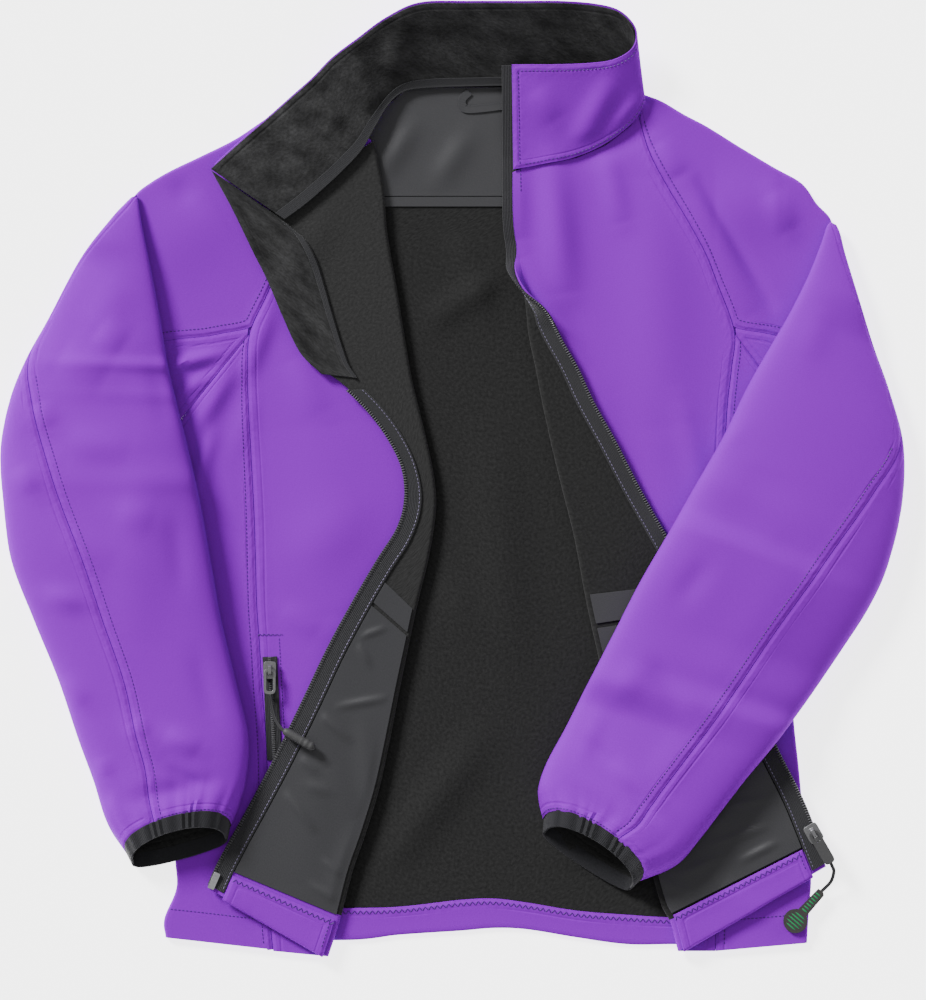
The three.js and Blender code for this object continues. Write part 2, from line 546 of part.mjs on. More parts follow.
// Sleeve loop at share q round it, from the outer edge over the top.
function sleevePoint(r, q, rest, lean, grow = 0) {
  const phi = 2 * Math.PI * q;
  const s = (1 - Math.cos(phi)) / 2;
  const upper = Math.sin(phi) > 0;
  const swell = Math.abs(Math.sin(phi)) ** (upper ? 0.8 : 0.6);
  const axis = at(r.outY - r.inY, r.inX - r.outX, 0).normalize();
  if (axis.y > 0) {
    axis.negate();
  }
  const p = at(r.outX, r.outY, 0).lerp(at(r.inX, r.inY, 0), s);
  p.addScaledVector(axis, (upper ? -mouthTop : mouthLow) * lean * swell);
  const edge = Math.min(4.5, r.loft * 0.42);
  const ends = rest(r.outX, r.outY) * (1 - s) + rest(r.inX, r.inY) * s;
  if (upper) {
    const crease = foldHeight(sleeveFolds, p.x, p.y) * swell;
    return p.setZ(ends + edge + (r.loft - edge) * swell + crease + grow * swell);
  }
  const ground = rest(p.x, p.y);
  return p.setZ(ends + edge + (ground - ends - edge) * swell);
}

function sleeveGrid(rows, rest, rowCount, qFrom, qTo, cols) {
  const grid = [];
  for (let j = 0; j <= rowCount; j += 1) {
    const v = j / rowCount;
    const r = rowAt(rows, v);
    const round = 2 * Math.hypot(r.outX - r.inX, r.outY - r.inY) + r.loft;
    const q0 = qFrom(r) + 0.32 / round;
    const q1 = qTo(r) - 0.3 / round;
    const lean = soft((v - 0.7) / 0.3);
    const row = [];
    for (let i = 0; i <= cols; i += 1) {
      row.push(sleevePoint(r, q0 + (q1 - q0) * (i / cols), rest, lean));
    }
    grid.push(row);
  }
  return grid;
}

function cuffGrid(rows, rest) {
  const end = rows[rows.length - 1];
  const axis = at(end.outY - end.inY, end.inX - end.outX, 0).normalize();
  const sign = axis.y > 0 ? -1 : 1;
  const grid = [];
  for (let j = 0; j <= 3; j += 1) {
    const d = sign * (1.8 + (cuffDepth * j) / 3);
    const outer = at(end.outX, end.outY, 0).addScaledVector(axis, d);
    const inner = at(end.inX, end.inY, 0).addScaledVector(axis, d);
    const r = { ...end };
    r.outX = outer.x + (inner.x - outer.x) * 0.01 * j;
    r.outY = outer.y + (inner.y - outer.y) * 0.01 * j;
    r.inX = inner.x + (outer.x - inner.x) * 0.025 * j;
    r.inY = inner.y + (outer.y - inner.y) * 0.025 * j;
    const row = [];
    for (let i = 0; i < 24; i += 1) {
      row.push(sleevePoint(r, i / 24, rest, 1, 0.4));
    }
    grid.push(row);
  }
  return grid;
}

// Collar surface: u from the opened end to the zip end, v from the neck seam to the top edge.
function collarPoint(u, v) {
  const r = rowAt(collarRows, u);
  const x = r.neckX + (r.topX - r.neckX) * v;
  const y = r.neckY + (r.topY - r.neckY) * v;
  const z = r.neckZ + (r.topZ - r.neckZ) * v ** 1.2 + foldHeight(bodyFolds, x, y);
  return at(x, y, z);
}

function gridOf(point, uFrom, uTo, cols, vFrom, vTo, rows) {
  const grid = [];
  for (let j = 0; j <= rows; j += 1) {
    const v = vFrom + (vTo - vFrom) * (j / rows);
    const row = [];
    for (let i = 0; i <= cols; i += 1) {
      row.push(point(uFrom + (uTo - uFrom) * (i / cols), v));
    }
    grid.push(row);
  }
  return grid;
}

// Shares of a front's length between two ends, on the front's own rows.
function rowShares(vFrom, vTo) {
  const between = Array.from({ length: frontRowCount + 1 }, (_, k) => k / frontRowCount);
  return [vFrom, ...between.filter((v) => v > vFrom + 0.008 && v < vTo - 0.008), vTo];
}

// Trim on the turned-back leg of a front, between two distances from its zip edge.
function legPatch(sectionAt, shares, fromEdge, toEdge, cols) {
  const grid = [];
  for (const v of shares) {
    const s = sectionAt(v);
    const near = fromEdge / s.reach;
    const far = Math.min(toEdge / s.reach, 0.99);
    const row = [];
    for (let i = 0; i <= cols; i += 1) {
      row.push(s.last(1 - far + (far - near) * (i / cols)));
    }
    grid.push(row);
  }
  return grid;
}

// Rows that carry a hem strip round the lower edge of a leg.
function curlRows(grid, lift) {
  const last = grid[grid.length - 1];
  const before = grid[grid.length - 2];
  const ends = [];
  for (let k = 1; k <= 3; k += 1) {
    const alpha = (Math.PI / 2) * (k / 3);
    ends.push(last.map((p, i) => {
      const ahead = p.clone().sub(before[i]).normalize();
      const q = p.clone().addScaledVector(ahead, lift * Math.sin(alpha));
      return q.setZ(p.z - lift * (1 - Math.cos(alpha)));
    }));
  }
  return [...grid, ...ends];
}

function lift(grid, height) {
  return grid.map((row) => row.map((p) => p.clone().setZ(p.z + height)));
}

// Zip tape along an edge: rows across it, moved to the inner side.
function tapeRows(edgeAt, shares, inside, beyond, inner) {
  return shares.map((v) => {
    const { edge, near, next } = edgeAt(v);
    const out = edge.clone().sub(near).normalize();
    const along = next.clone().sub(edge).normalize();
    const n = out.clone().cross(along).normalize().multiplyScalar(-inner(v));
    const wide = inside(v);
    const past = beyond(v);
    return [past, past * 0.4, -wide * 0.5, -wide].map((d) => edge.clone().addScaledVector(out, d).add(n));
  });
}

function flatStrip(path, wide, thick) {
  const grid = path.map((p, k) => {
    const a = path[Math.max(k - 1, 0)];
    const b = path[Math.min(k + 1, path.length - 1)];
    const side = at(a.y - b.y, b.x - a.x, 0).normalize();
    return [-0.5, 0, 0.5].map((f) => p.clone().addScaledVector(side, f * wide));
  });
  return wall(grid, thick);
}

const group = new THREE.Group();
group.name = 'softshell_jacket';
function add(name, geometry, colour, roughness = 0.9, metalness = 0) {
  const material = new THREE.MeshStandardMaterial({ color: colour, roughness, metalness });
  const mesh = new THREE.Mesh(geometry, material);
  mesh.name = name;
  group.add(mesh);
}

// Back, its hem, neck facing and band.
const hemShift = (x) => lookUp(hemRows, 'acrossX', 'lowY', x) + 345;
function backPoint(u, v) {
  const r = rowAt(backRows, v);
  const x = r.leftX + (r.rightX - r.leftX) * u;
  const y = r.rowY - 8 * soft((v - 0.9) / 0.1) + hemShift(x) * soft((v - 0.8) / 0.2);
  return at(x, y, floorZ);
}
add('back_panel', wall(gridOf(backPoint, 0, 1, 12, 0, 1, 16), clothThick), cloth.fleece);

function hemSection(u) {
  const r = rowAt(hemRows, u);
  const high = () => clothThick + 0.3 + clothThick / 2;
  const b = at(r.acrossX, r.lowY + 4.4, 0);
  return foldSection(at(r.acrossX, r.topY, 0), at(r.acrossX, r.lowY, 0), b, high, onFloor, true);
}
add('back_hem', wall(sheetGrid(hemSection, 16, { first: 2, turn: 3, last: 1 }), clothThick), cloth.purple);

const facingZ = clothThick + 0.3 + trimThick / 2;
const facingRows = [
  { rowY: 292.2, leftX: -33, rightX: 105 },
  { rowY: 262, leftX: -62, rightX: 118 },
  { rowY: 211.4, leftX: -74, rightX: 126 },
];
function facingPoint(u, v) {
  const r = rowAt(facingRows, v);
  return at(r.leftX + (r.rightX - r.leftX) * u, r.rowY, facingZ);
}
add('back_neck_facing', wall(gridOf(facingPoint, 0, 1, 4, 0, 1, 5), trimThick), cloth.woven);
const bandPoint = (u, v) => at(-74 + 200 * u, 211 - 7.4 * v, facingZ);
add('facing_band', wall(gridOf(bandPoint, 0, 1, 4, 0, 1, 1), trimThick), cloth.woven);
const hangerPath = [at(13, 289, 3.3), at(8, 284, 3.3), at(8, 279, 3.3), at(14, 276, 3.3), at(50, 280, 3.3)];
add('hanger_loop', flatStrip(hangerPath, 6, trimThick), cloth.woven);

// Collar: outer shell, lining, tape over the neck seam.
add('collar_shell', wall(gridOf(collarPoint, 0, 1, 28, 0, 1, 5), liningThick, -collarSplit), cloth.purple);
const liningGrid = gridOf(collarPoint, 0, 1, 28, 0.01, 0.985, 5);
add('collar_lining', wall(liningGrid, liningThick, collarSplit), cloth.fleece);
const tapeLift = collarSplit + liningThick / 2 + 0.45 + trimThick / 2;
add('neck_tape', wall(gridOf(collarPoint, 0, 16 / 28, 16, 0.01, 0.12, 1), trimThick, tapeLift), cloth.woven);

// Left and right sets of panels.
const sides = [
  {
    name: 'left', side: -1, front: frontLeftRows, flank: sideLeftRows, shoulder: shoulderLeftRows,
    gusset: gussetLeftRows, sleeve: sleeveLeftRows, rest: restLeft,
  },
  {
    name: 'right', side: 1, front: frontRightRows, flank: sideRightRows, shoulder: shoulderRightRows,
    gusset: gussetRightRows, sleeve: sleeveRightRows, rest: restRight,
  },
];
for (const s of sides) {
  const seams = denseRows(s.front, 120);
  const front = (v) => frontSection(s.front, v, s.side);
  const frontGrid = sheetGrid(front, frontRowCount, { first: 6, turn: 4, last: 5 });
  add(`front_${s.name}`, wall(frontGrid, clothThick), cloth.purple);
  const flank = (v) => sideSection(s.flank, seams, v, s.side);
  add(`side_${s.name}`, wall(sheetGrid(flank, 14, { first: 4, turn: 4, last: 1 }), clothThick), cloth.purple);
  const shoulder = (v) => shoulderSection(s.shoulder, seams, v, s.side);
  const shoulderCounts = { first: 5, turn: 4, last: 1 };
  add(`shoulder_${s.name}`, wall(sheetGrid(shoulder, 12, shoulderCounts), clothThick), cloth.purple);
  const cross = Array.from({ length: 61 }, (_, k) => shoulder(k / 60).first(0));
  const seamX = lookUp(seams, 'seamY', 'seamX', s.flank[0].seamY);
  const headGrid = gussetGrid(s.gusset, cross, s.flank[0], seamX);
  add(`sleeve_head_${s.name}`, wall(headGrid, clothThick), cloth.purple);
  const seamQ = (r) => Math.acos(1 - 2 * clamp(r.seam, 0, 1)) / (2 * Math.PI);
  const lowQ = () => sleeveLow;
  const topGrid = sleeveGrid(s.sleeve, s.rest, 18, seamQ, lowQ, 17);
  add(`sleeve_back_${s.name}`, wall(topGrid, clothThick), cloth.purple);
  const underGrid = sleeveGrid(s.sleeve, s.rest, 18, lowQ, (r) => 1 + seamQ(r), 10);
  add(`sleeve_front_${s.name}`, wall(underGrid, clothThick), cloth.purple);
  add(`cuff_${s.name}`, wall(cuffGrid(s.sleeve, s.rest), bindThick, 0, true), cloth.binding);
}

// Inner side of the left front: guard, tape, pocket bag, hem strip.
const leftLeg = (v) => frontSection(frontLeftRows, v, -1);
const rightLeg = (v) => frontSection(frontRightRows, v, 1);
const guardZ = clothThick / 2 + 0.3 + liningThick / 2;
function guardPoint(u, v) {
  const r = rowAt(guardRows, v);
  const x = r.inX + (r.outX - r.inX) * u;
  const y = r.inY + (r.outY - r.inY) * u;
  return at(x, y, turnTop(x, y) + guardZ);
}
add('zip_guard_left', wall(gridOf(guardPoint, 0, 1, 3, 0, 1, 10), liningThick), cloth.fleece);
const zipStart = 0.278;
const hemStart = 0.95;
const leftTape = lift(legPatch(leftLeg, rowShares(zipStart, 0.992), -3, 11, 3), overCloth);
add('zip_tape_left', wall(leftTape, trimThick), cloth.binding);
const leftBand = lift(legPatch(leftLeg, [0.592, 0.62], 11.6, 400, 4), overCloth);
add('pocket_band_left', wall(leftBand, trimThick), cloth.woven);
const leftBag = lift(legPatch(leftLeg, rowShares(0.624, hemStart - 0.006), 11.6, 400, 5), overCloth);
add('pocket_bag_left', wall(leftBag, trimThick), cloth.woven);
const stripLift = clothThick / 2 + 0.3 + clothThick / 2;
const leftHem = curlRows(lift(legPatch(leftLeg, rowShares(hemStart, 1), 11.6, 400, 5), stripLift), stripLift);
add('front_hem_left', wall(leftHem, clothThick), cloth.purple);

// Inner side of the right front.
const rightWide = (v) => {
  const s = rightLeg(v);
  return 2 + (clamp(s.reach - 4, 1.2, 11) - 2) * soft((v - 0.17) / 0.1);
};
const rightEdge = (v) => {
  const s = rightLeg(v);
  const next = rightLeg(Math.min(v + 0.01, 1));
  const dv = v + 0.01 > 1 ? rightLeg(v - 0.01) : null;
  const edge = s.last(1);
  const ahead = dv ? edge.clone().multiplyScalar(2).sub(dv.last(1)) : next.last(1);
  return { edge, near: s.last(1 - Math.min(2 / s.reach, 1)), next: ahead };
};
const collarEdge = (v) => ({
  edge: collarPoint(1, v),
  near: collarPoint(0.985, v),
  next: collarPoint(1, v - 0.02),
});
const collarShares = [0.985, 0.8, 0.6, 0.4, 0.2, 0.08];
const collarTape = tapeRows(collarEdge, collarShares, () => 3, () => 8, () => tapeLift);
const rightPast = (v) => 8 - 5 * soft((v - 0.14) / 0.16);
const rightInner = (v) => overCloth + 1.3 * (1 - soft(v / 0.2));
const frontTape = tapeRows(rightEdge, rowShares(0.03, 0.992), rightWide, rightPast, rightInner);
add('zip_tape_right', wall([...collarTape, ...frontTape], trimThick), cloth.binding);
const rightBand = lift(legPatch(rightLeg, [0.625, 0.65], 11.8, 400, 5), overCloth);
add('pocket_band_right', wall(rightBand, trimThick), cloth.woven);
const rightBag = lift(legPatch(rightLeg, rowShares(0.654, 0.928), 11.8, 400, 5), overCloth);
add('pocket_bag_right', wall(rightBag, trimThick), cloth.woven);
const rightHem = curlRows(lift(legPatch(rightLeg, rowShares(0.935, 1), 11.8, 400, 5), stripLift), stripLift);
add('front_hem_right', wall(rightHem, clothThick), cloth.purple);

// Pocket zip on the left front and its pull.
const pocketX = -135.5;
const pocketTop = -131;
const pocketLow = -208;
const pocketTapeZ = (y) => bodyTop(pocketX, y) + overCloth;
const pocketPath = Array.from({ length: 7 }, (_, k) => {
  const y = pocketTop + ((pocketLow - pocketTop) * k) / 6;
  return at(pocketX + 0.6 * k, y, pocketTapeZ(y) + 0.1);
});
add('pocket_zip_left', flatStrip(pocketPath, 11, trimThick), cloth.binding);

function block(w, d, h, corner) {
  const x = w / 2;
  const y = d / 2;
  const outline = new THREE.Shape();
  outline.moveTo(-x + corner, -y);
  outline.lineTo(x - corner, -y);
  outline.quadraticCurveTo(x, -y, x, -y + corner);
  outline.lineTo(x, y - corner);
  outline.quadraticCurveTo(x, y, x - corner, y);
  outline.lineTo(-x + corner, y);
  outline.quadraticCurveTo(-x, y, -x, y - corner);
  outline.lineTo(-x, -y + corner);
  outline.quadraticCurveTo(-x, -y, -x + corner, -y);
  const options = { depth: h, bevelEnabled: false, curveSegments: 3 };
  return { outline, make: () => new THREE.ExtrudeGeometry(outline, options) };
}

// Pull tab that turns about the origin, hanging towards -Y, with a hole for the bail.
function pullTab(w, d, h, bar, holeWide, holeDeep) {
  const { outline } = block(w, d, h, w * 0.4);
  const rim = outline.getPoints(3).map((p) => new THREE.Vector2(p.x, p.y - d / 2 + bar / 2));
  const shape = new THREE.Shape(rim);
  const inner = block(holeWide, holeDeep, h, holeWide * 0.3).outline;
  const slot = inner.getPoints(3).map((p) => new THREE.Vector2(p.x, p.y - bar / 2 - holeDeep / 2));
  shape.holes.push(new THREE.Path(slot.reverse()));
  return new THREE.ExtrudeGeometry(shape, { depth: h, bevelEnabled: false }).translate(0, 0, -h / 2);
}

const wasm = await Module();
wasm.setup();
function toSolid(geometry) {
  const plain = new THREE.BufferGeometry();
  const flat = geometry.index ? geometry.toNonIndexed() : geometry;
  plain.setAttribute('position', flat.getAttribute('position'));
  const merged = mergeVertices(plain, 1e-3);
  const triVerts = new Uint32Array(merged.index.array);
  const vertProperties = merged.attributes.position.array;
  return new wasm.Manifold(new wasm.Mesh({ numProp: 3, vertProperties, triVerts }));
}
function joined(a, b) {
  const mesh = toSolid(a).add(toSolid(b)).getMesh();
  const geometry = new THREE.BufferGeometry();
  const places = new THREE.BufferAttribute(new Float32Array(mesh.vertProperties), mesh.numProp);
  geometry.setAttribute('position', places);
  geometry.setIndex(new THREE.BufferAttribute(new Uint32Array(mesh.triVerts), 1));
  geometry.computeVertexNormals();
  return geometry;
}

// Slider body with the bail that holds its tab; the origin is on the body's base.
function slider(w, d, h) {
  const roof = axisRise * 2;
  const i = bailInside;
  const o = bailInside + bailWall;
  const top = roof + bailWall;
  const outline = new THREE.Shape();
  outline.moveTo(-o, -0.5);
  const inside = [[-i, -0.5], [-i, roof - 1], [-i + 1, roof], [i - 1, roof], [i, roof - 1], [i, -0.5]];
  const outside = [[o, -0.5], [o, top - 1.4], [o - 1.4, top], [1.4 - o, top], [-o, top - 1.4]];
  [...inside, ...outside].forEach(([a, b]) => outline.lineTo(a, b));
  const arch = new THREE.ExtrudeGeometry(outline, { depth: bailWide, bevelEnabled: false });
  arch.translate(0, 0, -bailWide / 2);
  arch.applyMatrix4(new THREE.Matrix4().makeBasis(at(0, 1, 0), at(0, 0, 1), at(1, 0, 0)));
  arch.translate(0, 0, h);
  return joined(block(w, d, h, 2.5).make(), arch);
}
function cordRod(points, radius) {
  const outline = new THREE.Shape();
  outline.absarc(0, 0, radius, 0, 2 * Math.PI, false);
  const path = new THREE.CatmullRomCurve3(points);
  const options = { steps: 9, bevelEnabled: false, extrudePath: path, curveSegments: 5 };
  return new THREE.ExtrudeGeometry(outline, options);
}
function capsule(from, to, radius) {
  const length = from.distanceTo(to);
  const profile = [];
  for (let k = 0; k <= 5; k += 1) {
    const a = (Math.PI / 2) * (k / 5);
    profile.push(new THREE.Vector2(radius * Math.sin(a), radius * (1 - Math.cos(a))));
  }
  for (let k = 0; k <= 5; k += 1) {
    const a = (Math.PI / 2) * (k / 5);
    profile.push(new THREE.Vector2(radius * Math.cos(a), length - radius * (1 - Math.sin(a))));
  }
  profile[0].x = 0;
  profile[profile.length - 1].x = 0;
  const geometry = new THREE.LatheGeometry(profile, 12);
  const way = to.clone().sub(from).normalize();
  const spin = new THREE.Quaternion().setFromUnitVectors(at(0, 1, 0), way);
  geometry.applyQuaternion(spin);
  geometry.translate(from.x, from.y, from.z);
  return geometry;
}

const pocketSliderY = -141;
const pocketBase = pocketTapeZ(pocketSliderY) + trimThick / 2 + 0.5;
const sliderTop = 3.2;
const pocketSlider = slider(9.5, 13, sliderTop).translate(pocketX, pocketSliderY, pocketBase);
add('pocket_slider', pocketSlider, hard.dark, 0.4, 0.6);
const tabZ = pocketBase + sliderTop + axisRise;
const pocketTab = pullTab(9, 19, 1.8, 2.2, 4.8, 14.4).translate(pocketX, pocketSliderY, tabZ);
add('pocket_tab', pocketTab, hard.dark, 0.4, 0.6);
const pocketCordPath = [
  at(pocketX + 0.3, -159.6, tabZ), at(-134, -168, tabZ - 0.3), at(-131, -178, tabZ + 1.3),
  at(-126.5, -184.5, tabZ + 3.5), at(-123.4, -186.6, tabZ + 4.7),
];
add('pocket_cord', cordRod(pocketCordPath, 1.3), hard.dark, 0.7);
const endFrom = at(-122.6, -187, tabZ + 5);
const endTo = at(-104.5, -197.5, tabZ + 6.3);
add('pocket_cord_end', capsule(endFrom, endTo, 3.5), hard.rubber, 0.6);

// Main slider at the foot of the right zip, its pull, cord and tag; end pin of the left zip.
const mainSpin = Math.atan2(0.5, 0.866);
const mainX = 268.5;
const mainY = -262;
const mainBase = turnTop(mainX, mainY) + overCloth + trimThick / 2 + 0.4;
const mainTop = 3.6;
const mainTabZ = mainBase + mainTop + axisRise;
const mainSlider = slider(11, 14, mainTop).rotateZ(mainSpin).translate(mainX, mainY, mainBase);
add('main_slider', mainSlider, hard.dark, 0.4, 0.6);
const mainTab = pullTab(8.5, 27, 2.2, 2.4, 4.4, 6).rotateZ(mainSpin).translate(mainX, mainY, mainTabZ);
add('main_tab', mainTab, hard.rubber, 0.6);
const tagZ = bodyTop(262, -318) + clothThick / 2 + 0.6;
const tagCordPath = [
  at(mainX + 13.4, mainY - 23, mainTabZ), at(283.6, -290.5, mainTabZ - 2.2), at(281.6, -298, tagZ + 4),
  at(276, -304.2, tagZ + 1.4),
];
add('tag_cord', cordRod(tagCordPath, 1.3), hard.dark, 0.7);
function tagShape() {
  const outline = new THREE.Shape();
  const half = 4;
  const radius = 9;
  const length = 29;
  const open = Math.asin(half / radius);
  outline.moveTo(-half, -1);
  outline.absarc(0, -length, radius, Math.PI / 2 + open, Math.PI / 2 - open, false);
  outline.lineTo(half, -1);
  outline.lineTo(half - 1.5, 0.5);
  outline.lineTo(1.5 - half, 0.5);
  return new THREE.ExtrudeGeometry(outline, { depth: 2.4, bevelEnabled: false, curveSegments: 24 });
}
const tagSpin = Math.atan2(-(254 - 274), 329 - 305.4);
add('tag', tagShape().rotateZ(-tagSpin).translate(274, -305.4, tagZ), hard.rubber, 0.6);
const pinSpin = Math.atan2(-173 + 180, 304 - 288);
const pinZ = turnTop(-178, -299) + overCloth + trimThick / 2 + 0.4;
const zipPin = block(5, 13, 2.2, 1).make().rotateZ(-pinSpin).translate(-176.8, -297.5, pinZ);
add('zip_pin_left', zipPin, hard.steel, 0.35, 0.9);

const box = new THREE.Box3();
for (const mesh of group.children) {
  if (!['pocket_cord', 'tag_cord'].includes(mesh.name)) {
    mesh.geometry.computeBoundingBox();
    box.union(mesh.geometry.boundingBox);
  }
}
const middle = box.getCenter(at(0, 0, 0));
for (const mesh of group.children) {
  mesh.geometry.translate(-middle.x, -middle.y, -box.min.z);
}

export default group;
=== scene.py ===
import math

import bpy
import numpy as np
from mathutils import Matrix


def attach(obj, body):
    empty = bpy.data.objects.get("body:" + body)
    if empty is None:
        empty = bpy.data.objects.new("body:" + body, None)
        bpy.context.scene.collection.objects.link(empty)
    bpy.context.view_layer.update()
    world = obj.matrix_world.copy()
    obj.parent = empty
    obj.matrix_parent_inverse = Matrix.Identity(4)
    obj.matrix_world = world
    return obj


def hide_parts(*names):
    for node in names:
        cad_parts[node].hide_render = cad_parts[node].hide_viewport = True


# Softshell jacket laid open on a table. Tables and sizes are millimetres on the
# table top: x to the right, y to the collar, z up. Meshes are in metres.
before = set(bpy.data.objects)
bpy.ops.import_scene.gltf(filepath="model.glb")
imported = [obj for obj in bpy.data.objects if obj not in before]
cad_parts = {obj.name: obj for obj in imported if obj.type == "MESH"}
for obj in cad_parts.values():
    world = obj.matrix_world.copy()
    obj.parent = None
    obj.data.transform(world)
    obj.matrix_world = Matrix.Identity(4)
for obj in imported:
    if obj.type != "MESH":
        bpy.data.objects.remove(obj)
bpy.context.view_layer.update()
print("frame loaded")

wall = {"shell": 1.4, "lining": 1.2, "trim": 0.8, "binding": 1.8}
layout = {"shiftX": -0.474, "shiftY": -0.653, "seamGap": 0.06, "gap": 0.3, "trimGap": 0.4, "bodyZ": 3.8,
          "turnZ": 8.2, "neckGap": 1.1, "turnSpare": 3.0, "sideReturn": 30.0}
floorZ = wall["shell"] / 2
overCloth = wall["shell"] / 2 + layout["trimGap"] + wall["trim"] / 2
upward = np.array([0, 0, 1.0])


def table(columns, rows):
    # Named columns of a short table, each an array
    return dict(zip(columns.split(), np.array(rows, float).T))


frontLeftRows = table("seamX seamY foldX foldY edgeX edgeY", [
    (-80, 267, -58, 252, -153, 189), (-92, 238, -51, 216, -146, 171),
    (-107, 205, -48, 183, -137, 151), (-121, 175, -41, 142, -126, 123),
    (-138, 137, -35, 105, -111, 93), (-150, 110, -30, 76, -83, 73),
    (-152, 81, -24, 51, -61, 52), (-151, 49, -18, 26, -45, 30),
    (-149, 13, -13, 0, -35, 8), (-147, -26, -12, -23, -33, -15),
    (-146, -59, -17, -56, -39, -37), (-145, -93, -25, -89, -54, -61),
    (-143, -122, -32, -122, -71, -90), (-141, -156, -39, -156, -90, -125),
    (-138, -193, -46, -192, -109, -165), (-137, -230, -54, -229, -129, -206),
    (-136, -264, -64, -262, -147, -240), (-135, -297, -74, -291, -163, -269),
    (-135, -327, -83, -326, -173, -288), (-133, -350, -92, -354, -180, -304)])
frontRightRows = table("seamX seamY foldX foldY edgeX edgeY", [
    (138, 273, 45, 229, 45, 229), (147, 244, 45, 209, 45, 209),
    (160, 219, 46, 188, 46, 188), (176, 192, 49, 170, 50, 170),
    (189, 168, 51, 157, 57, 158), (198, 145, 54, 134, 66, 136),
    (210, 111, 57, 108, 78, 108), (208, 84, 62, 84, 91, 84),
    (205, 58, 67, 58, 103, 58), (203, 26, 74, 26, 119, 29),
    (201, -7, 82, -7, 137, -6), (199, -44, 91, -43, 158, -43),
    (198, -89, 100, -91, 180, -81), (197, -130, 110, -136, 201, -119),
    (196, -171, 120, -182, 220, -156), (196, -212, 131, -230, 238, -197),
    (196, -253, 144, -275, 257, -235), (196, -294, 155, -314, 267, -259),
    (196, -327, 162, -328, 272, -272), (196, -350, 168, -350, 278, -287)])
sideLeftRows = table("seamY sideX sideY", [
    (109, -226, 15), (92, -224, 7), (73, -222, -3), (30, -219, -22), (-7, -214, -44),
    (-44, -210, -70), (-89, -204, -102), (-122, -201, -125), (-157, -201, -157),
    (-195, -203, -197), (-234, -205, -238), (-275, -206, -279), (-301, -205, -303),
    (-327, -214, -326), (-349, -213, -340)])
sideRightRows = table("seamY sideX sideY", [
    (109, 278, 19), (92, 276, 10), (73, 274, -1), (30, 268, -20), (-7, 263, -44),
    (-44, 259, -70), (-89, 256, -102), (-126, 254, -135), (-171, 254, -174),
    (-212, 258, -214), (-253, 262, -256), (-290, 267, -291), (-316, 266, -314),
    (-333, 265, -327), (-350, 264, -344)])
shoulderLeftRows = table("seamX seamY edgeX edgeY", [
    (-85, 264, -97, 288), (-95, 236, -113, 284), (-110, 206, -137, 270),
    (-123, 177, -161, 254), (-136, 146, -187, 241), (-148, 125, -210, 230),
    (-155, 115, -225, 221), (-177, 108, -235, 213), (-211, 104, -244, 200),
    (-240, 97, -257, 179)])
shoulderRightRows = table("seamX seamY edgeX edgeY", [
    (141, 268, 143, 287), (150, 246, 156, 282), (163, 222, 173, 272),
    (179, 195, 190, 263), (195, 164, 214, 248), (205, 136, 239, 233),
    (215, 116, 260, 221), (231, 110, 271, 206), (253, 105, 281, 195),
    (271, 100, 284, 180)])
headLeftRows = table("topX lowX", [
    (-151.2, -151.8), (-170, -164), (-194, -181), (-217, -202), (-236, -222)])
headRightRows = table("topX lowX", [
    (211.4, 211.2), (225, 221), (242, 232), (258, 250), (268, 273)])
backRows = table("rowY leftX rightX", [
    (296, -36, 107), (280, -73, 133), (267, -98, 147), (247, -118, 168),
    (227, -139, 189), (207, -161, 210), (190, -182, 228), (173, -200, 244),
    (134, -202, 248), (75, -198, 247), (23, -190, 243), (-29, -183, 232),
    (-74, -176, 225), (-119, -168, 222), (-163, -168, 222), (-208, -170, 223),
    (-253, -172, 228), (-290, -172, 232), (-327, -179, 232)])
hemRows = table("acrossX topY lowY", [
    (-176, -318, -340), (-80, -318, -342), (-39, -317, -338), (6, -312, -335),
    (31, -311, -333), (56, -314, -334), (93, -320, -340), (130, -323, -345),
    (166, -325, -345), (230, -325, -345)])
sleeveLeftRows = table("outX outY inX inY seam loft", [
    (-238, 210, -235, 212, 0, 2.8), (-243, 205, -234, 207, 0, 5),
    (-253, 194, -231, 189, 0, 9), (-276, 164, -225, 160, 0, 13),
    (-300, 119, -217, 118, 0, 17), (-316, 90, -212, 87, 0.02, 20),
    (-328, 60, -205, 57, 0.13, 22), (-335, 23, -197, 25, 0.23, 24),
    (-333, -15, -188, -15, 0.29, 25), (-327, -59, -180, -59, 0.36, 25),
    (-310, -104, -172, -104, 0.37, 24), (-292, -148, -161, -150, 0.37, 24),
    (-277, -193, -152, -189, 0.34, 24), (-266, -223, -153, -218, 0.34, 24),
    (-256, -254, -158, -238, 0.34, 25), (-242, -276, -165, -255, 0.33, 26)])
sleeveRightRows = table("outX outY inX inY seam loft", [
    (285, 190, 282, 192, 0, 2.8), (288, 183, 279, 188, 0, 5),
    (292, 167, 275, 176, 0, 8), (302, 134, 265, 151, 0, 13),
    (313, 99, 251, 123, 0, 17), (325, 65, 237, 99, 0, 20),
    (335, 26, 220, 69, 0.02, 23), (334, -17, 202, 32, 0.16, 25),
    (324, -61, 182, -3, 0.26, 26), (310, -93, 162, -38, 0.3, 26),
    (289, -126, 140, -76, 0.32, 25), (265, -161, 121, -113, 0.33, 24),
    (242, -192, 103, -148, 0.335, 24), (218, -221, 85, -184, 0.34, 24),
    (198, -247, 71, -210, 0.34, 24), (185, -264, 65, -228, 0.34, 25),
    (167, -284, 66, -240, 0.35, 26), (140, -296, 69, -250, 0.36, 26)])
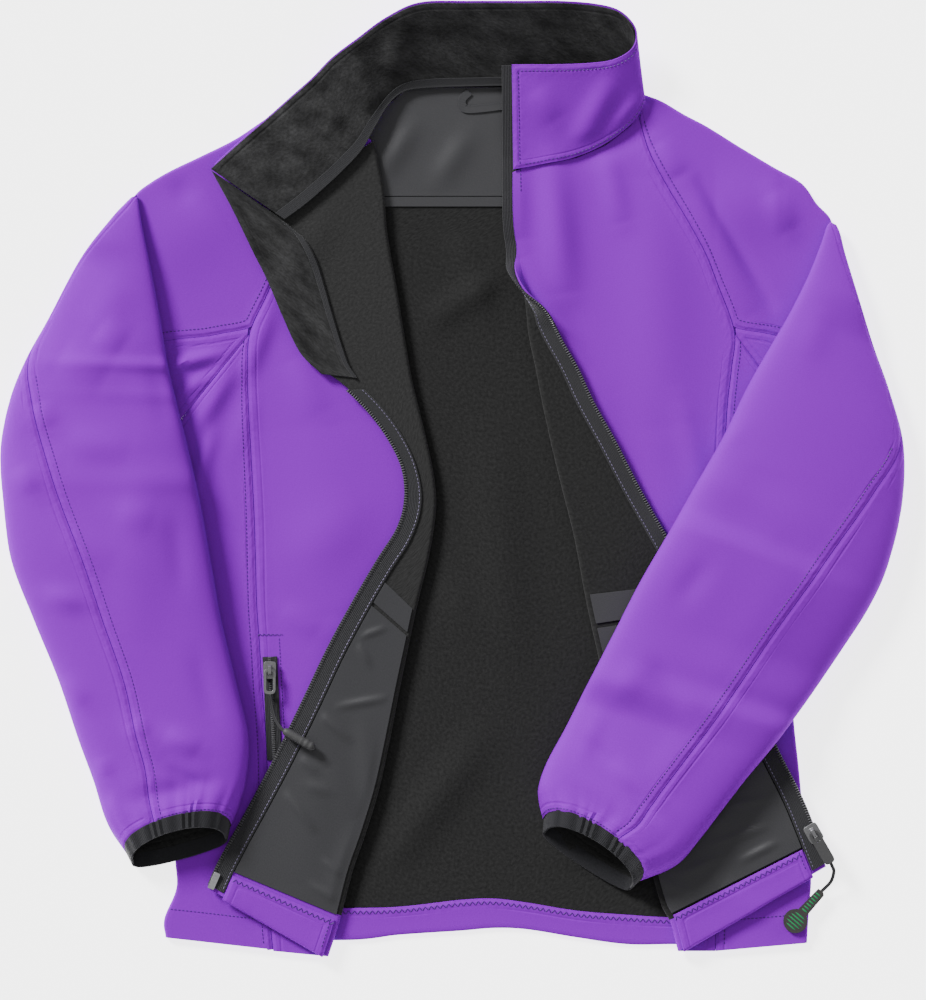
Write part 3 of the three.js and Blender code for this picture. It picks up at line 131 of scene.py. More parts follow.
collarRows = table("neckX neckY neckZ topX topY topZ", [
    (-126, 195, 10.9, -180, 232, 11.5), (-111, 206, 10.9, -158, 252, 11.5),
    (-97, 218, 10.9, -137, 270, 12), (-82, 232, 10.9, -120, 285, 14),
    (-68, 247, 10.9, -104, 299, 17), (-58, 264, 10, -89, 314, 21),
    (-48, 280, 7.5, -70, 328, 26), (-36, 290, 5, -49, 343, 30),
    (-18, 293, 3.8, -24, 354, 33), (10, 294, 3.6, 13, 355, 34),
    (39, 294.5, 3.6, 51, 355, 34), (73, 294, 3.6, 80, 355, 34),
    (106, 293, 3.8, 106, 353, 33), (129, 291, 5, 124, 348, 32),
    (140, 287, 7.4, 135, 336, 30), (142, 279, 8.2, 134, 322, 28),
    (134, 266, 7.4, 121, 313, 26), (113, 250, 6.2, 103, 310, 24),
    (90, 240, 5.6, 78, 309, 22), (68, 235, 5.4, 60, 309, 20),
    (45.5, 231, 5.2, 44.5, 309, 18)])
guardRows = table("outX outY inX inY", [
    (-179, 230.5, -127, 194.4), (-170, 214, -117, 186), (-162, 199, -108, 178),
    (-149, 172, -100, 163), (-137, 148, -94, 144), (-126, 122, -86, 116),
    (-113, 95, -77, 88), (-97, 79, -70, 76)])
facingRows = table("rowY leftX rightX", [(292.2, -33, 105), (262, -62, 118), (211.4, -74, 126)])
# Soft folds: ridge line, half width, height
bodyFolds = table("fromX fromY toX toY wide high", [
    (45, 240, 47, 180, 12, 4.0), (52, 165, 92, 92, 9, 3.2), (73, 238, 84, 140, 13, 6.4),
    (148, 225, 160, 40, 26, 4.4),
    (196, 205, 245, 205, 26, 3.2), (-170, 200, -225, 170, 30, 2.8),
    (-164, 84, -188, 40, 8, 4.2), (-150, 62, -160, 20, 8, 1.6),
    (-100, 40, -86, -100, 34, 3), (-96, -160, -108, -300, 20, 1.6),
    (135, -120, 175, -230, 24, 2),
    (114, 242, 126, 192, 9, 3.2), (168, 226, 224, 124, 13, 5.4), (184, 222, 238, 130, 5, -3.0),
    (152, 250, 168, 226, 10, 3.2), (238, 214, 250, 186, 9, 4.4), (-206, 223, -194, 206, 9, -1.8),
    (-216, 84, -172, 94, 5, 4.8), (-152, 80, -136, 126, 7, 3.6), (-206, 62, -180, 78, 5, 3.0),
    (-178, 36, -192, -8, 6, 2.8),
    (-118, 90, -98, 50, 12, 2.2), (-118, -60, -64, -20, 22, 2.2), (-126, -96, -100, -112, 9, 1.6),
    (170, 60, 186, -10, 9, 1.8), (120, 60, 150, -30, 12, -1.6), (-186, -298, -150, -322, 9, 1.6),
    (200, -300, 250, -334, 10, 1.8), (-90, 200, -120, 150, 12, 1.6), (92, 236, 150, 262, 8, -1.6)])
# Folds of the collar, of the open back and of the pocket bags
collarFolds = table("fromX fromY toX toY wide high", [
    (94, 250, 120, 298, 9, 4.4), (62, 290, 76, 268, 10, 2.6), (116, 252, 138, 284, 6, 2.6),
    (-36, 338, -44, 300, 9, 4.6), (-122, 258, -96, 236, 9, 3.2), (-72, 302, -56, 276, 8, 3.4),
    (-158, 222, -140, 206, 7, 2.2), (-92, 280, -84, 262, 6, 2.2), (20, 345, 60, 320, 14, 2.6)])
backFolds = table("fromX fromY toX toY wide high", [
    (-30, 112, 52, 160, 9, 2.2), (-46, -282, 21, -193, 15, 2.6), (44, -140, 30, 30, 18, 2.0),
    (-20, -60, 24, -120, 12, 1.6), (0, 190, 30, 120, 10, 1.4), (60, -230, 100, -290, 14, 2.0)])
facingFolds = table("fromX fromY toX toY wide high", [
    (-30, 262, -52, 228, 8, 1.3), (72, 262, 50, 222, 12, 1.2), (12, 256, -10, 222, 9, 1.1)])
bagFolds = table("fromX fromY toX toY wide high", [
    (-68, -116, -50, -110, 2.4, 0.8), (-70, -122, -61, -137, 2.6, 0.9), (-84, -168, -50, -162, 2.6, 1.1),
    (-97, -174, -76, -193, 3, 1.2), (-114, -205, -100, -217, 3, 0.9), (-123, -233, -103, -259, 3, 1.2),
    (-95, -282, -83, -294, 2.6, 0.9), (-104, -300, -84, -314, 3, 1.0), (-93, -214, -70, -250, 9, 0.9),
    (-72, -262, -90, -312, 8, 0.8), (-66, -180, -60, -240, 8, 0.8), (-108, -226, -90, -232, 4, 0.7),
    (194, -270, 232, -258, 3, 0.9), (172, -292, 202, -280, 4, 1.0), (210, -241, 240, -236, 3, 0.9),
    (142, -125, 108, -136, 3, 0.8), (202, -230, 224, -202, 4, 0.8), (156, -298, 180, -308, 3, 0.8),
    (216, -282, 240, -270, 3, 0.9), (186, -262, 206, -248, 6, 0.8)])
sleeveFolds = table("fromX fromY toX toY wide high", [
    (-290, 92, -258, 76, 14, 3.6), (-262, 112, -244, 100, 12, 3.0), (-322, 10, -310, -8, 9, 3.6),
    (-302, -84, -274, -92, 8, 3.8), (-290, -148, -272, -166, 8, 3.6), (-284, 30, -240, 22, 12, 2.4),
    (-212, -188, -188, -200, 8, 3.4), (-240, -238, -172, -222, 8, -3), (-248, -22, -222, -30, 12, 2.2),
    (-228, 20, -236, -120, 20, 2.2), (142, -136, 120, -160, 12, 2.4),
    (230, 10, 216, -40, 24, -1.6), (80, -222, 132, -262, 9, -2.6),
    (120, -206, 150, -236, 8, 1.8), (262, -60, 200, -150, 22, 1.8),
    (-236, -176, -228, -190, 7, 2.0), (-262, -206, -256, -220, 6, 2.4), (-306, 58, -298, 40, 8, 2.4),
    (-269, -234, -251, -236, 8, -2.6), (-318, 40, -290, 20, 10, -1.8), (-246, 150, -262, 110, 16, 2.2),
    (-222, 96, -212, 40, 8, -1.8), (-206, -30, -200, -80, 8, -1.8), (-250, -60, -290, -40, 14, 1.8),
    (-190, -130, -176, -176, 8, -1.8), (-240, -180, -214, -206, 9, 1.8), (-210, -214, -186, -226, 5, -1.6),
    (276, 130, 262, 90, 12, 1.4), (190, 22, 214, 40, 8, 1.6), (240, -40, 268, -70, 12, -1.0),
    (190, -60, 168, -90, 9, -1.8), (148, -136, 172, -170, 8, -1.8), (96, -190, 124, -214, 6, -1.8),
    (130, -226, 150, -250, 5, -1.6), (176, -190, 150, -226, 12, 1.8), (110, -170, 96, -206, 7, 1.4)])
outlineRows = table("rowY leftX rightX", [
    (215, -246, 292), (179, -257, 298), (140, -254, 296), (97, -242, 288),
    (60, -234, 284), (15, -226, 278), (-22, -219, 268), (-70, -210, 259),
    (-125, -201, 254), (-175, -202, 254), (-256, -206, 262), (-303, -206, 267),
    (-345, -214, 266)])


def shares(count):
    # Evenly spaced values from 0 to 1, one more than the count
    return np.linspace(0, 1, count + 1)


def soft(value):
    # Smooth step from 0 to 1: 3s squared less 2s cubed
    s = np.clip(value, 0, 1)
    return s * s * (3 - 2 * s)


def rowAt(rows, share):
    # Catmull-Rom curve through every column, at shares of its length
    share = np.atleast_1d(np.asarray(share, float))
    out = {}
    for key, column in rows.items():
        place = np.clip(share, 0, 1) * (len(column) - 1)
        i = np.minimum(place.astype(int), len(column) - 2)
        f = place - i
        b, c = column[i], column[i + 1]
        a = np.where(i > 0, column[np.maximum(i - 1, 0)], 2 * b - c)
        d = np.where(i + 2 < len(column), column[np.minimum(i + 2, len(column) - 1)], 2 * c - b)
        out[key] = b + 0.5 * f * (c - a + f * (2 * a - 5 * b + 4 * c - d + f * (3 * (b - c) + d - a)))
    return out


def lookUp(rows, keyIn, keyOut, value):
    # Straight-line value of one column against another that rises or falls
    known, wanted = rows[keyIn], rows[keyOut]
    if known[-1] < known[0]:
        known, wanted = known[::-1], wanted[::-1]
    return np.interp(value, known, wanted)


def foldHeight(folds, x, y):
    # Sum of bell-shaped ridges, each round its own line and lower at its ends
    total = np.zeros(np.broadcast(x, y).shape)
    for x0, y0, x1, y1, wide, high in zip(*folds.values()):
        dx, dy = x1 - x0, y1 - y0
        t = np.clip(((x - x0) * dx + (y - y0) * dy) / (dx * dx + dy * dy), 0, 1)
        away = np.hypot(x - x0 - t * dx, y - y0 - t * dy)
        total += high * np.exp(-((away / wide) ** 2)) * (0.3 + 0.7 * np.sin(math.pi * t) ** 0.8)
    return total


def bodyTop(x, y):
    # Height of the body's outer cloth: its level and the folds
    return layout["bodyZ"] + foldHeight(bodyFolds, x, y)


def turnTop(x, y):
    # Height of the turned-back fronts, over the same folds
    return layout["turnZ"] + foldHeight(bodyFolds, x, y)


def flatAt(height):
    # Layer that is level at one height
    return lambda x, y: np.full(np.broadcast(x, y).shape, height)


onFloor = flatAt(floorZ)


def unit(v):
    # Vectors divided by their lengths
    return v / np.maximum(np.linalg.norm(v, axis=-1, keepdims=True), 1e-9)


def stack(x, y, z):
    # Points from their coordinates
    return np.stack(np.broadcast_arrays(x, y, z), axis=-1)


def foldSheet(a, e, b, low, high, always=False, bow=lambda s: 0.0):
    # Sheet that runs from a to the fold at e on one layer, turns over in a half
    # circle, and runs back to b on another. Rows are places, columns shares.
    ahead = unit(e - a)
    width = np.linalg.norm(b - e, axis=-1)
    share = np.ones_like(width) if always else soft(width / 20)
    angle = math.pi * share
    guess = np.abs(high(*e.T) - low(*e.T)) / 2
    spare = (1 - share) * layout["turnSpare"]
    whole = share > 0.999
    flat = np.where(whole, 0, np.maximum(width, layout["turnSpare"]) - width)
    pull = (guess + floorZ) * np.sin(np.minimum(angle, math.pi / 2)) + spare + flat
    root = e - ahead * pull[:, None]
    rise = (high(*root.T) - low(*root.T)) / 2
    r = np.abs(rise)
    back = np.where((width > 1)[:, None], unit(b - e), -ahead)

    def first(s):
        # Straight from a to the fold, bowed down by bow
        p = a[:, None] + (root - a)[:, None] * s[None, :, None]
        y = p[..., 1] - bow(s)
        return stack(p[..., 0], y, low(p[..., 0], y))

    def turn(s):
        # Half circle: height by the cosine, way out and home again by the sine
        alpha = angle[:, None] * s[None, :]
        z = low(*root.T)[:, None] + rise[:, None] * (1 - np.cos(alpha))
        out = r[:, None] * np.sin(np.minimum(alpha, math.pi / 2)) + spare[:, None] * s
        home = np.where(alpha > math.pi / 2, r[:, None] * (1 - np.sin(alpha)), 0)
        p = root[:, None] + ahead[:, None] * out[..., None] + back[:, None] * home[..., None]
        return stack(p[..., 0], p[..., 1], z)

    end = turn(np.array([1.0]))[:, 0]
    level = np.where((angle < math.pi / 2)[:, None], ahead, back)
    blend = soft((width - 6) / 14)
    partly = np.maximum(width, layout["turnSpare"])
    reach = partly + (np.linalg.norm(b - end[:, :2], axis=-1) - partly) * blend
    way = np.where(whole[:, None], unit(b - end[:, :2]), level * np.abs(np.cos(angle))[:, None])
    lift = np.sign(rise) * np.sin(angle)

    def last(s):
        # s may be one row of shares for every place, or its own row for each
        s = np.broadcast_to(s, (len(a), np.shape(s)[-1]))
        run = reach[:, None] * s
        p = end[:, None, :2] + way[:, None] * run[..., None]
        follow = high(p[..., 0], p[..., 1]) - high(end[:, 0], end[:, 1])[:, None]
        z = end[:, 2:3] + lift[:, None] * run + follow * share[:, None]
        return stack(p[..., 0], p[..., 1], z)

    return {"first": first, "turn": turn, "last": last, "reach": reach}


def sheetGrid(sheet, counts):
    # The whole folded sheet as one grid
    legs = []
    for leg, count in zip(("first", "turn", "last"), counts):
        s = shares(count)
        legs.append(sheet[leg](s if leg == "first" else s[1:]))
    return np.concatenate(legs, axis=1)


def neckBow(s):
    # How far the top of the closed front drops to follow the collar's neck seam
    top = {key: column[0] for key, column in frontRightRows.items()}
    collarFront = {key: column[15:] for key, column in collarRows.items()}
    x = top["seamX"] + (top["foldX"] - top["seamX"]) * s
    y = top["seamY"] + (top["foldY"] - top["seamY"]) * s
    over = y - lookUp(collarFront, "neckX", "neckY", x) + layout["neckGap"]
    return np.maximum(0, over) * soft(s / 0.06) * soft((1 - s) / 0.1)


def spot(r, key):
    # Places in the plane, by the columns X and Y of one name
    return np.stack([r[key + "X"], r[key + "Y"]], -1)


def frontSheet(half, v):
    # Front from its seam round its fold to the zip edge; the right one follows the neck
    r = rowAt(half["front"], v)
    a = np.stack([r["seamX"] - half["side"] * layout["seamGap"] * 0.6, r["seamY"]], -1)
    fade = (1 - soft(v / 0.16))[:, None] if half["side"] > 0 else 0.0
    return foldSheet(a, spot(r, "fold"), spot(r, "edge"), bodyTop, turnTop, False,
                     lambda s: fade * neckBow(s)[None, :])


def sideSheet(half, v):
    # Side panel from its seam round the side, a little way back on the table
    r = rowAt(half["flank"], v)
    seamX = lookUp(half["seams"], "seamY", "seamX", r["seamY"]) + half["side"] * layout["seamGap"] * 1.3
    b = np.stack([r["sideX"] - half["side"] * layout["sideReturn"], r["sideY"]], -1)
    return foldSheet(np.stack([seamX, r["seamY"]], -1), spot(r, "side"), b, bodyTop, onFloor, True)


def shoulderSheet(half, v):
    # Shoulder from the raglan seam round its edge, and back for a share of its width
    r = rowAt(half["shoulder"], v)
    onRaglan = soft((r["seamY"] - 109) / 6)
    line = lookUp(half["seams"], "seamY", "seamX", r["seamY"]) + half["side"] * layout["seamGap"] * 2
    a = np.stack([r["seamX"] + (line - r["seamX"]) * onRaglan, r["seamY"]], -1)
    e = spot(r, "edge")
    part = np.clip(11 / np.linalg.norm(e - a, axis=-1), 0.35, 0.8)
    return foldSheet(a, e, e + (a - e) * part[:, None], bodyTop, onFloor, True)


def headGrid(half, rowCount, cols):
    # Lower sleeve head, between the seam across the sleeve and the armhole
    cross = half["shoulderGrid"][:, 0]
    flank = {key: column[0] for key, column in half["flank"].items()}
    seamX = lookUp(half["seams"], "seamY", "seamX", flank["seamY"])
    slope = (flank["sideY"] - flank["seamY"]) / (flank["sideX"] - seamX)
    r = rowAt(half["head"], shares(rowCount))
    order = np.argsort(cross[:, 0])
    topY = np.interp(r["topX"], cross[order, 0], cross[order, 1]) + 0.3
    lowY = flank["seamY"] + slope * (r["lowX"] - seamX) + 0.05
    s = shares(cols)[None, :]
    x = r["topX"][:, None] + (r["lowX"] - r["topX"])[:, None] * s
    y = topY[:, None] + (lowY - topY)[:, None] * s
    return stack(x, y, bodyTop(x, y))


# What a sleeve lies on, in millimetres: rise over each layer, where it begins and how
# far it takes to get there
under = {"fade": 18, "onBody": 2.1, "onBack": 2.9, "onTurn": 2.8, "leftIn": 6, "rightOut": 7, "foldIn": 5,
         "zipOut": 12}


def restLeft(x, y):
    # What the left sleeve lies on: the body, and past its outline the table
    out = lookUp(outlineRows, "rowY", "leftX", y) - under["leftIn"]
    drop = 1 - soft((out - x) / under["fade"])
    return floorZ + (bodyTop(x, y) + under["onBody"] - floorZ) * drop


def restRight(x, y):
    # What the right sleeve lies on: table, body, turned front and open back
    out = lookUp(outlineRows, "rowY", "rightX", y) + under["rightOut"]
    fold = lookUp(frontRightRows, "foldY", "foldX", y)
    zipX = lookUp(frontRightRows, "edgeY", "edgeX", y)
    drop = 1 - soft((x - out) / under["fade"])
    onBody = 1 - soft((fold - under["foldIn"] - x) / under["fade"])
    onTurn = (1 - soft((x - zipX - under["zipOut"]) / under["fade"])) * onBody
    body = under["onBack"] + (bodyTop(x, y) + under["onBody"] - under["onBack"]) * onBody
    layer = body + (layout["turnZ"] - layout["bodyZ"] + under["onTurn"]) * onTurn
    return floorZ + (layer - floorZ) * drop


sleeve = {"mouthTop": 16, "mouthLow": 6, "lowShare": 0.775, "slit": 0.02, "lap": 1.4, "cuffLong": 11.9,
          "cuffOver": 1.6}


def sleevePoints(r, q, rest, lean, grow=0.0):
    # Flattened loop round a sleeve: q goes round from the outer edge over the top
    phi = 2 * math.pi * q
    s = (1 - np.cos(phi)) / 2
    upper = np.sin(phi) > 0
    swell = np.abs(np.sin(phi)) ** np.where(upper, 0.46, 0.6)
    reach = np.abs(np.sin(phi)) ** np.where(upper, 0.8, 0.6)
    out, home = spot(r, "out"), spot(r, "in")
    axis = unit(np.stack([out[:, 1] - home[:, 1], home[:, 0] - out[:, 0]], -1))
    axis = np.where(axis[:, 1:] > 0, -axis, axis)
    p = out[:, None] + (home - out)[:, None] * s[..., None]
    slide = np.where(upper, -sleeve["mouthTop"], sleeve["mouthLow"]) * lean[:, None] * reach
    p = p + axis[:, None] * slide[..., None]
    edge = np.minimum(4.5, r["loft"] * 0.42)[:, None]
    ends = rest(r["outX"], r["outY"])[:, None] * (1 - s) + rest(r["inX"], r["inY"])[:, None] * s
    gathers = 0.8 * np.sin(2 * math.pi * 11 * s + 2 * np.sin(2 * math.pi * 3 * s)) * lean[:, None] ** 6
    crease = (foldHeight(sleeveFolds, p[..., 0], p[..., 1]) + gathers) * swell
    top = ends + edge + (r["loft"][:, None] - edge) * swell + crease + grow * swell
    ground = rest(p[..., 0], p[..., 1])
    low = ends + edge + (ground - ends - edge) * swell
    return stack(p[..., 0], p[..., 1], np.where(upper, top, low))


def seamShare(r):
    # Share of the loop at which the long seam lies on top
    return np.arccos(1 - 2 * np.clip(r["seam"], 0, 1)) / (2 * math.pi)


def lowShare(r):
    # Share of the loop at which the lower seam lies
    return np.full(len(r["outX"]), sleeve["lowShare"])


def sleeveGrid(half, qFrom, qTo, cols, lap=-sleeve["slit"]):
    # Part of a sleeve between two shares of its loop; it starts a little under its neighbour
    v = shares(fine["sleeveRows"])
    r = rowAt(half["sleeve"], v)
    around = 2 * np.hypot(r["outX"] - r["inX"], r["outY"] - r["inY"]) + r["loft"]
    q0 = qFrom(r) - lap / around
    q1 = qTo(r) - sleeve["slit"] / around
    q = q0[:, None] + (q1 - q0)[:, None] * shares(cols)[None, :]
    return sleevePoints(r, q, half["rest"], soft((v - 0.7) / 0.3))


def cuffGrid(half, rowCount, cols):
    # Bound mouth of a sleeve: the last loop moved on along the sleeve, and narrowed
    end = {key: column[-1] for key, column in half["sleeve"].items()}
    out, home = spot(end, "out"), spot(end, "in")
    axis = unit(np.array([out[1] - home[1], home[0] - out[0]]))
    axis = -axis if axis[1] > 0 else axis
    step = shares(rowCount)
    d = sleeve["cuffLong"] * step - sleeve["cuffOver"]
    o = out + axis * d[:, None]
    h = home + axis * d[:, None]
    r = {key: np.full(len(d), value) for key, value in end.items()}
    part = step[:, None] * 3
    r["outX"], r["outY"] = (o + (h - o) * 0.01 * part).T
    r["inX"], r["inY"] = (h + (o - h) * 0.025 * part).T
    q = np.broadcast_to(np.arange(cols) / cols, (len(d), cols))
    return sleevePoints(r, q, half["rest"], np.ones(len(d)), 0.4)


def collarPoints(u, v):
    # Collar surface: u round the neck from the opened end, v up from the neck seam
    u, v = np.broadcast_arrays(u, v)
    r = {key: value.reshape(u.shape) for key, value in rowAt(collarRows, u.ravel()).items()}
    x = r["neckX"] + (r["topX"] - r["neckX"]) * v
    y = r["neckY"] + (r["topY"] - r["neckY"]) * v
    folds = foldHeight(bodyFolds, x, y) + foldHeight(collarFolds, x, y) * soft(v * 4)
    z = r["neckZ"] + (r["topZ"] - r["neckZ"]) * np.abs(v) ** 1.2 + folds
    return stack(x, y, z)


def patch(points, uFrom, uTo, cols, vFrom, vTo, rows):
    # Grid of a surface between two shares of each way
    u = np.linspace(uFrom, uTo, cols + 1)[None, :]
    v = np.linspace(vFrom, vTo, rows + 1)[:, None]
    return points(u, v)


def legPatch(sheet, fromEdge, toEdge, cols):
    # Strip of a turned-back leg between two distances from its zip edge
    near = fromEdge / sheet["reach"]
    far = np.minimum(toEdge / sheet["reach"], 0.99)
    s = (1 - far)[:, None] + (far - near)[:, None] * shares(cols)[None, :]
    return sheet["last"](s)


def curled(grid, height, steps=6):
    # Rows that carry a hem strip down round the end of a leg in a quarter circle
    alpha = (math.pi / 2 * np.arange(1, steps + 1) / steps)[:, None, None]
    ahead = unit(grid[-1] - grid[-2])
    rows = grid[-1] + ahead * height * np.sin(alpha)
    rows[..., 2] = grid[-1, :, 2] - height * (1 - np.cos(alpha[..., 0]))
    return np.concatenate([grid, rows])


def lifted(grid, height):
    # A grid moved up
    return grid + upward * height


def creased(grid, folds):
    # A grid raised by a set of folds, less and less towards its edges
    inside = soft(edgeDistance(grid, "left right top bottom") / 8)
    rise = foldHeight(folds, grid[..., 0], grid[..., 1]) * inside
    return grid + upward * 1.3 * rise[..., None]


def normalsOf(grid, ring=False):
    # Normals of a grid: the way along its rows crossed with the way down
    if ring:
        wide = np.concatenate([grid[:, -1:], grid, grid[:, :1]], axis=1)
        du = wide[:, 2:] - wide[:, :-2]
    else:
        du = np.gradient(grid, axis=1)
    dv = np.gradient(grid, axis=0)
    return unit(np.cross(du, dv))


def metres(points):
    # Table millimetres as metres in the frame
    return (points + np.array([layout["shiftX"], layout["shiftY"], 0])) / 1000


def lengths(grid, axis):
    # Distance along rows or columns of a grid, from its first point
    step = np.linalg.norm(np.diff(grid, axis=axis), axis=-1)
    start = np.zeros_like(step[:1] if axis == 0 else step[:, :1])
    return np.concatenate([start, np.cumsum(step, axis=axis)], axis=axis)


def flatSize(grid):
    # Width, length and area of a grid's middle surface, in metres
    across = np.cross(grid[:-1, 1:] - grid[:-1, :-1], grid[1:, :-1] - grid[:-1, :-1])
    other = np.cross(grid[1:, :-1] - grid[1:, 1:], grid[:-1, 1:] - grid[1:, 1:])
    area = (np.linalg.norm(across, axis=-1).sum() + np.linalg.norm(other, axis=-1).sum()) / 2e6
    wide = lengths(grid, 1)[:, -1].max() / 1000
    long = lengths(grid, 0)[-1].max() / 1000
    return wide, long, min(max(area, 0.31 * wide * long), wide * long)


def meshObject(name, points, faces, materials, uv=None, fields=None, layer=None, smooth=40):
    # Mesh with its materials, lengths as UV, named values at its points, and the
    # material number of each face
    mesh = bpy.data.meshes.new(name)
    mesh.from_pydata(points.tolist(), [], sum((part.tolist() for part in faces), []))
    if uv is not None:
        uvLayer = mesh.uv_layers.new(name="UVMap")
        corners = np.concatenate([part.ravel() for part in faces])
        uvLayer.data.foreach_set("uv", uv[corners].astype(np.float32).ravel())
    for key, values in (fields or {}).items():
        mesh.attributes.new(key, "FLOAT", "POINT").data.foreach_set("value", values.astype(np.float32))
    mesh.shade_smooth()
    mesh.set_sharp_from_angle(angle=math.radians(smooth))
    for material in materials:
        mesh.materials.append(material)
    if layer is not None:
        mesh.polygons.foreach_set("material_index", layer.astype(np.int32))
    made = bpy.data.objects.new(name, mesh)
    bpy.context.scene.collection.objects.link(made)
    return made


def signedVolume(points, faces):
    # Positive for a closed mesh whose faces look outwards
    a, b, c, d = (points[faces[:, k]] for k in range(4))
    return float((a * (np.cross(b, c) + np.cross(c, d))).sum())


def edgeDistance(grid, edges):
    # Distance from the nearest of some edges of a grid, at most 30
    across, down = lengths(grid, 1), lengths(grid, 0)
    away = {"left": across, "right": across[:, -1:] - across, "top": down, "bottom": down[-1:] - down}
    return np.minimum.reduce([np.full(grid.shape[:2], 30.0)] + [away[edge] for edge in edges.split()])


def outwards(grid, outside):
    # Normals on the outer side of a cloth: up or down by outside, near its first column
    normal = normalsOf(grid)
    return normal * np.sign(normal[len(grid) // 2, grid.shape[1] // 8, 2] * outside)


def wallMesh(name, grid, thick, materials, shift, ring, outside, sewn, rim, topStitch, turnUp):
    # Closed shell about a grid: upper and lower layer, drawn in a little at the
    # rim, and a rounded rim of its own points between them. The inner face has the
    # outer cloth too in the rows past turnUp.
    rows, cols = grid.shape[:2]
    normal = normalsOf(grid, ring)
    outerFirst = normal[rows // 2, cols // 8, 2] * outside > 0
    middle = grid + normal * shift
    draw = 0.3 * thick
    drawn = middle.copy()
    drawn[0] += unit(middle[1] - middle[0]) * draw
    drawn[-1] += unit(middle[-2] - middle[-1]) * draw
    if not ring:
        drawn[:, 0] += unit(middle[:, 1] - middle[:, 0]) * draw
        drawn[:, -1] += unit(middle[:, -2] - middle[:, -1]) * draw
    top = drawn + normal * thick / 2
    low = drawn - normal * thick / 2
    ids = np.arange(rows * cols).reshape(rows, cols)
    count = rows * cols
    span = np.roll(ids, -1, axis=1) if ring else ids[:, 1:]
    base = ids if ring else ids[:, :-1]
    upper = np.stack([base[:-1], span[:-1], span[1:], base[1:]], -1).reshape(-1, 4)
    lower = upper[:, ::-1] + count
    if ring:
        loops = [ids[0], ids[-1][::-1]]
    else:
        loops = [np.concatenate([ids[0, :-1], ids[:-1, -1], ids[-1, :0:-1], ids[:0:-1, 0]])]
    points = [top.reshape(-1, 3), low.reshape(-1, 3)]
    faces = [upper, lower]
    inner = np.repeat(np.arange(rows - 1) < turnUp * (rows - 1), len(upper) // (rows - 1)).astype(int)
    sides = [0 * inner, inner] if outerFirst else [inner, 0 * inner]
    edges = [("top", cols), ("bottom", cols)] if ring else [("top", cols - 1), ("right", rows - 1),
                                                             ("bottom", cols - 1), ("left", rows - 1)]
    rims = np.concatenate([np.full(count, int(edge in rim)) for edge, count in edges])
    uvFlat = np.stack([lengths(grid, 1), lengths(grid, 0)], -1).reshape(-1, 2) / 1000
    seam = edgeDistance(grid, sewn).ravel()
    uvs, seams = [uvFlat, uvFlat], [seam, seam]
    next0, done = 2 * count, 0
    for loop in loops:
        edge = next0 + np.arange(len(loop))
        after, edgeAfter = np.roll(loop, -1), np.roll(edge, -1)
        faces.append(np.stack([edge, edgeAfter, after, loop], -1))
        faces.append(np.stack([loop + count, after + count, edgeAfter, edge], -1))
        sides.append(np.tile(rims[done:done + len(loop)], 2))
        points.append(middle.reshape(-1, 3)[loop])
        uvs.append(uvFlat[loop])
        seams.append(seam[loop])
        next0 += len(loop)
        done += len(loop)
    places = metres(np.concatenate(points))
    faces = np.concatenate(faces)
    if signedVolume(places, faces) < 0:
        faces = faces[:, ::-1]
    seams = np.concatenate(seams)
    fields = {"seam": seams, "stitch": np.abs(seams - topStitch)}
    layer = np.concatenate(sides) if len(materials) > 1 else None
    return meshObject(name, places, [faces], materials, np.concatenate(uvs), fields, layer)


def placed(made, body, slot, node=None):
    # Piece that rides with a body, and may stand for a CAD solid
    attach(made, body)
    if node:
        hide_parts(node)
    return made


def cloth(name, grid, kind, node, shift=0.0, ring=False, inside=None,
          outside=1, sewn="", rim="", topStitch=6.5, turnUp=1.01):
    # One sewn piece of the garment: a shell about a grid, whose flat size is worked out
    # but not kept; inside is the material of its other face and of the edges in rim
    thick, material, slot = kinds[kind]
    materials = [material] if inside is None else [material, inside]
    made = wallMesh(name, grid, thick, materials, shift, ring, outside, sewn, rim, topStitch, turnUp)
    placed(made, "garment", slot, node)
    wide, long, area = flatSize(np.concatenate([grid, grid[:, :1]], axis=1) if ring else grid)
    max(wide, 0.0102)
    max(long, 0.0102)


def runLine(grid, edge, away, lift, part=(0.0, 1.0), outside=1):
    # Line on a cloth's face at a distance from one edge: its points and normals
    normal = outwards(grid, outside)
    if edge in ("top", "bottom"):
        grid, normal = grid.transpose(1, 0, 2), normal.transpose(1, 0, 2)
    if edge in ("right", "bottom"):
        grid, normal = grid[:, ::-1], normal[:, ::-1]
    first, last = (round(share * (len(grid) - 1)) for share in part)
    grid, normal = grid[first:last + 1], normal[first:last + 1]
    run = lengths(grid, 1)
    i = np.clip((run < away).sum(axis=1) - 1, 0, grid.shape[1] - 2)
    rows = np.arange(len(grid))
    f = ((away - run[rows, i]) / (run[rows, i + 1] - run[rows, i]))[:, None]
    points = grid[rows, i] * (1 - f) + grid[rows, i + 1] * f
    n = unit(normal[rows, i] * (1 - f) + normal[rows, i + 1] * f)
    return points + n * lift, n


def along(line, places):
    # Points at distances along a line
    run = lengths(line[None], 1)[0]
    return np.stack([np.interp(places, run, line[:, k]) for k in range(3)], -1)


def spaced(line, normal, pitch):
    # Distances of evenly spaced places on a line, and the normals there
    run = lengths(line[None], 1)[0]
    middle = (np.arange(int(run[-1] / pitch)) + 0.5) * pitch
    return middle, unit(np.stack([np.interp(middle, run, normal[:, k]) for k in range(3)], -1))


def threads(line, normal, pitch, share=0.72, wave=0.0):
    # Ends and normals of the stitches on a line; wave is the reach of a zigzag
    middle, n = spaced(line, normal, pitch)
    a = along(line, middle - share * pitch / 2)
    b = along(line, middle + share * pitch / 2)
    swing = unit(np.cross(n, b - a)) * wave * np.where(np.arange(len(a)) % 2, 1, -1)[:, None]
    return a + swing, b - swing, n


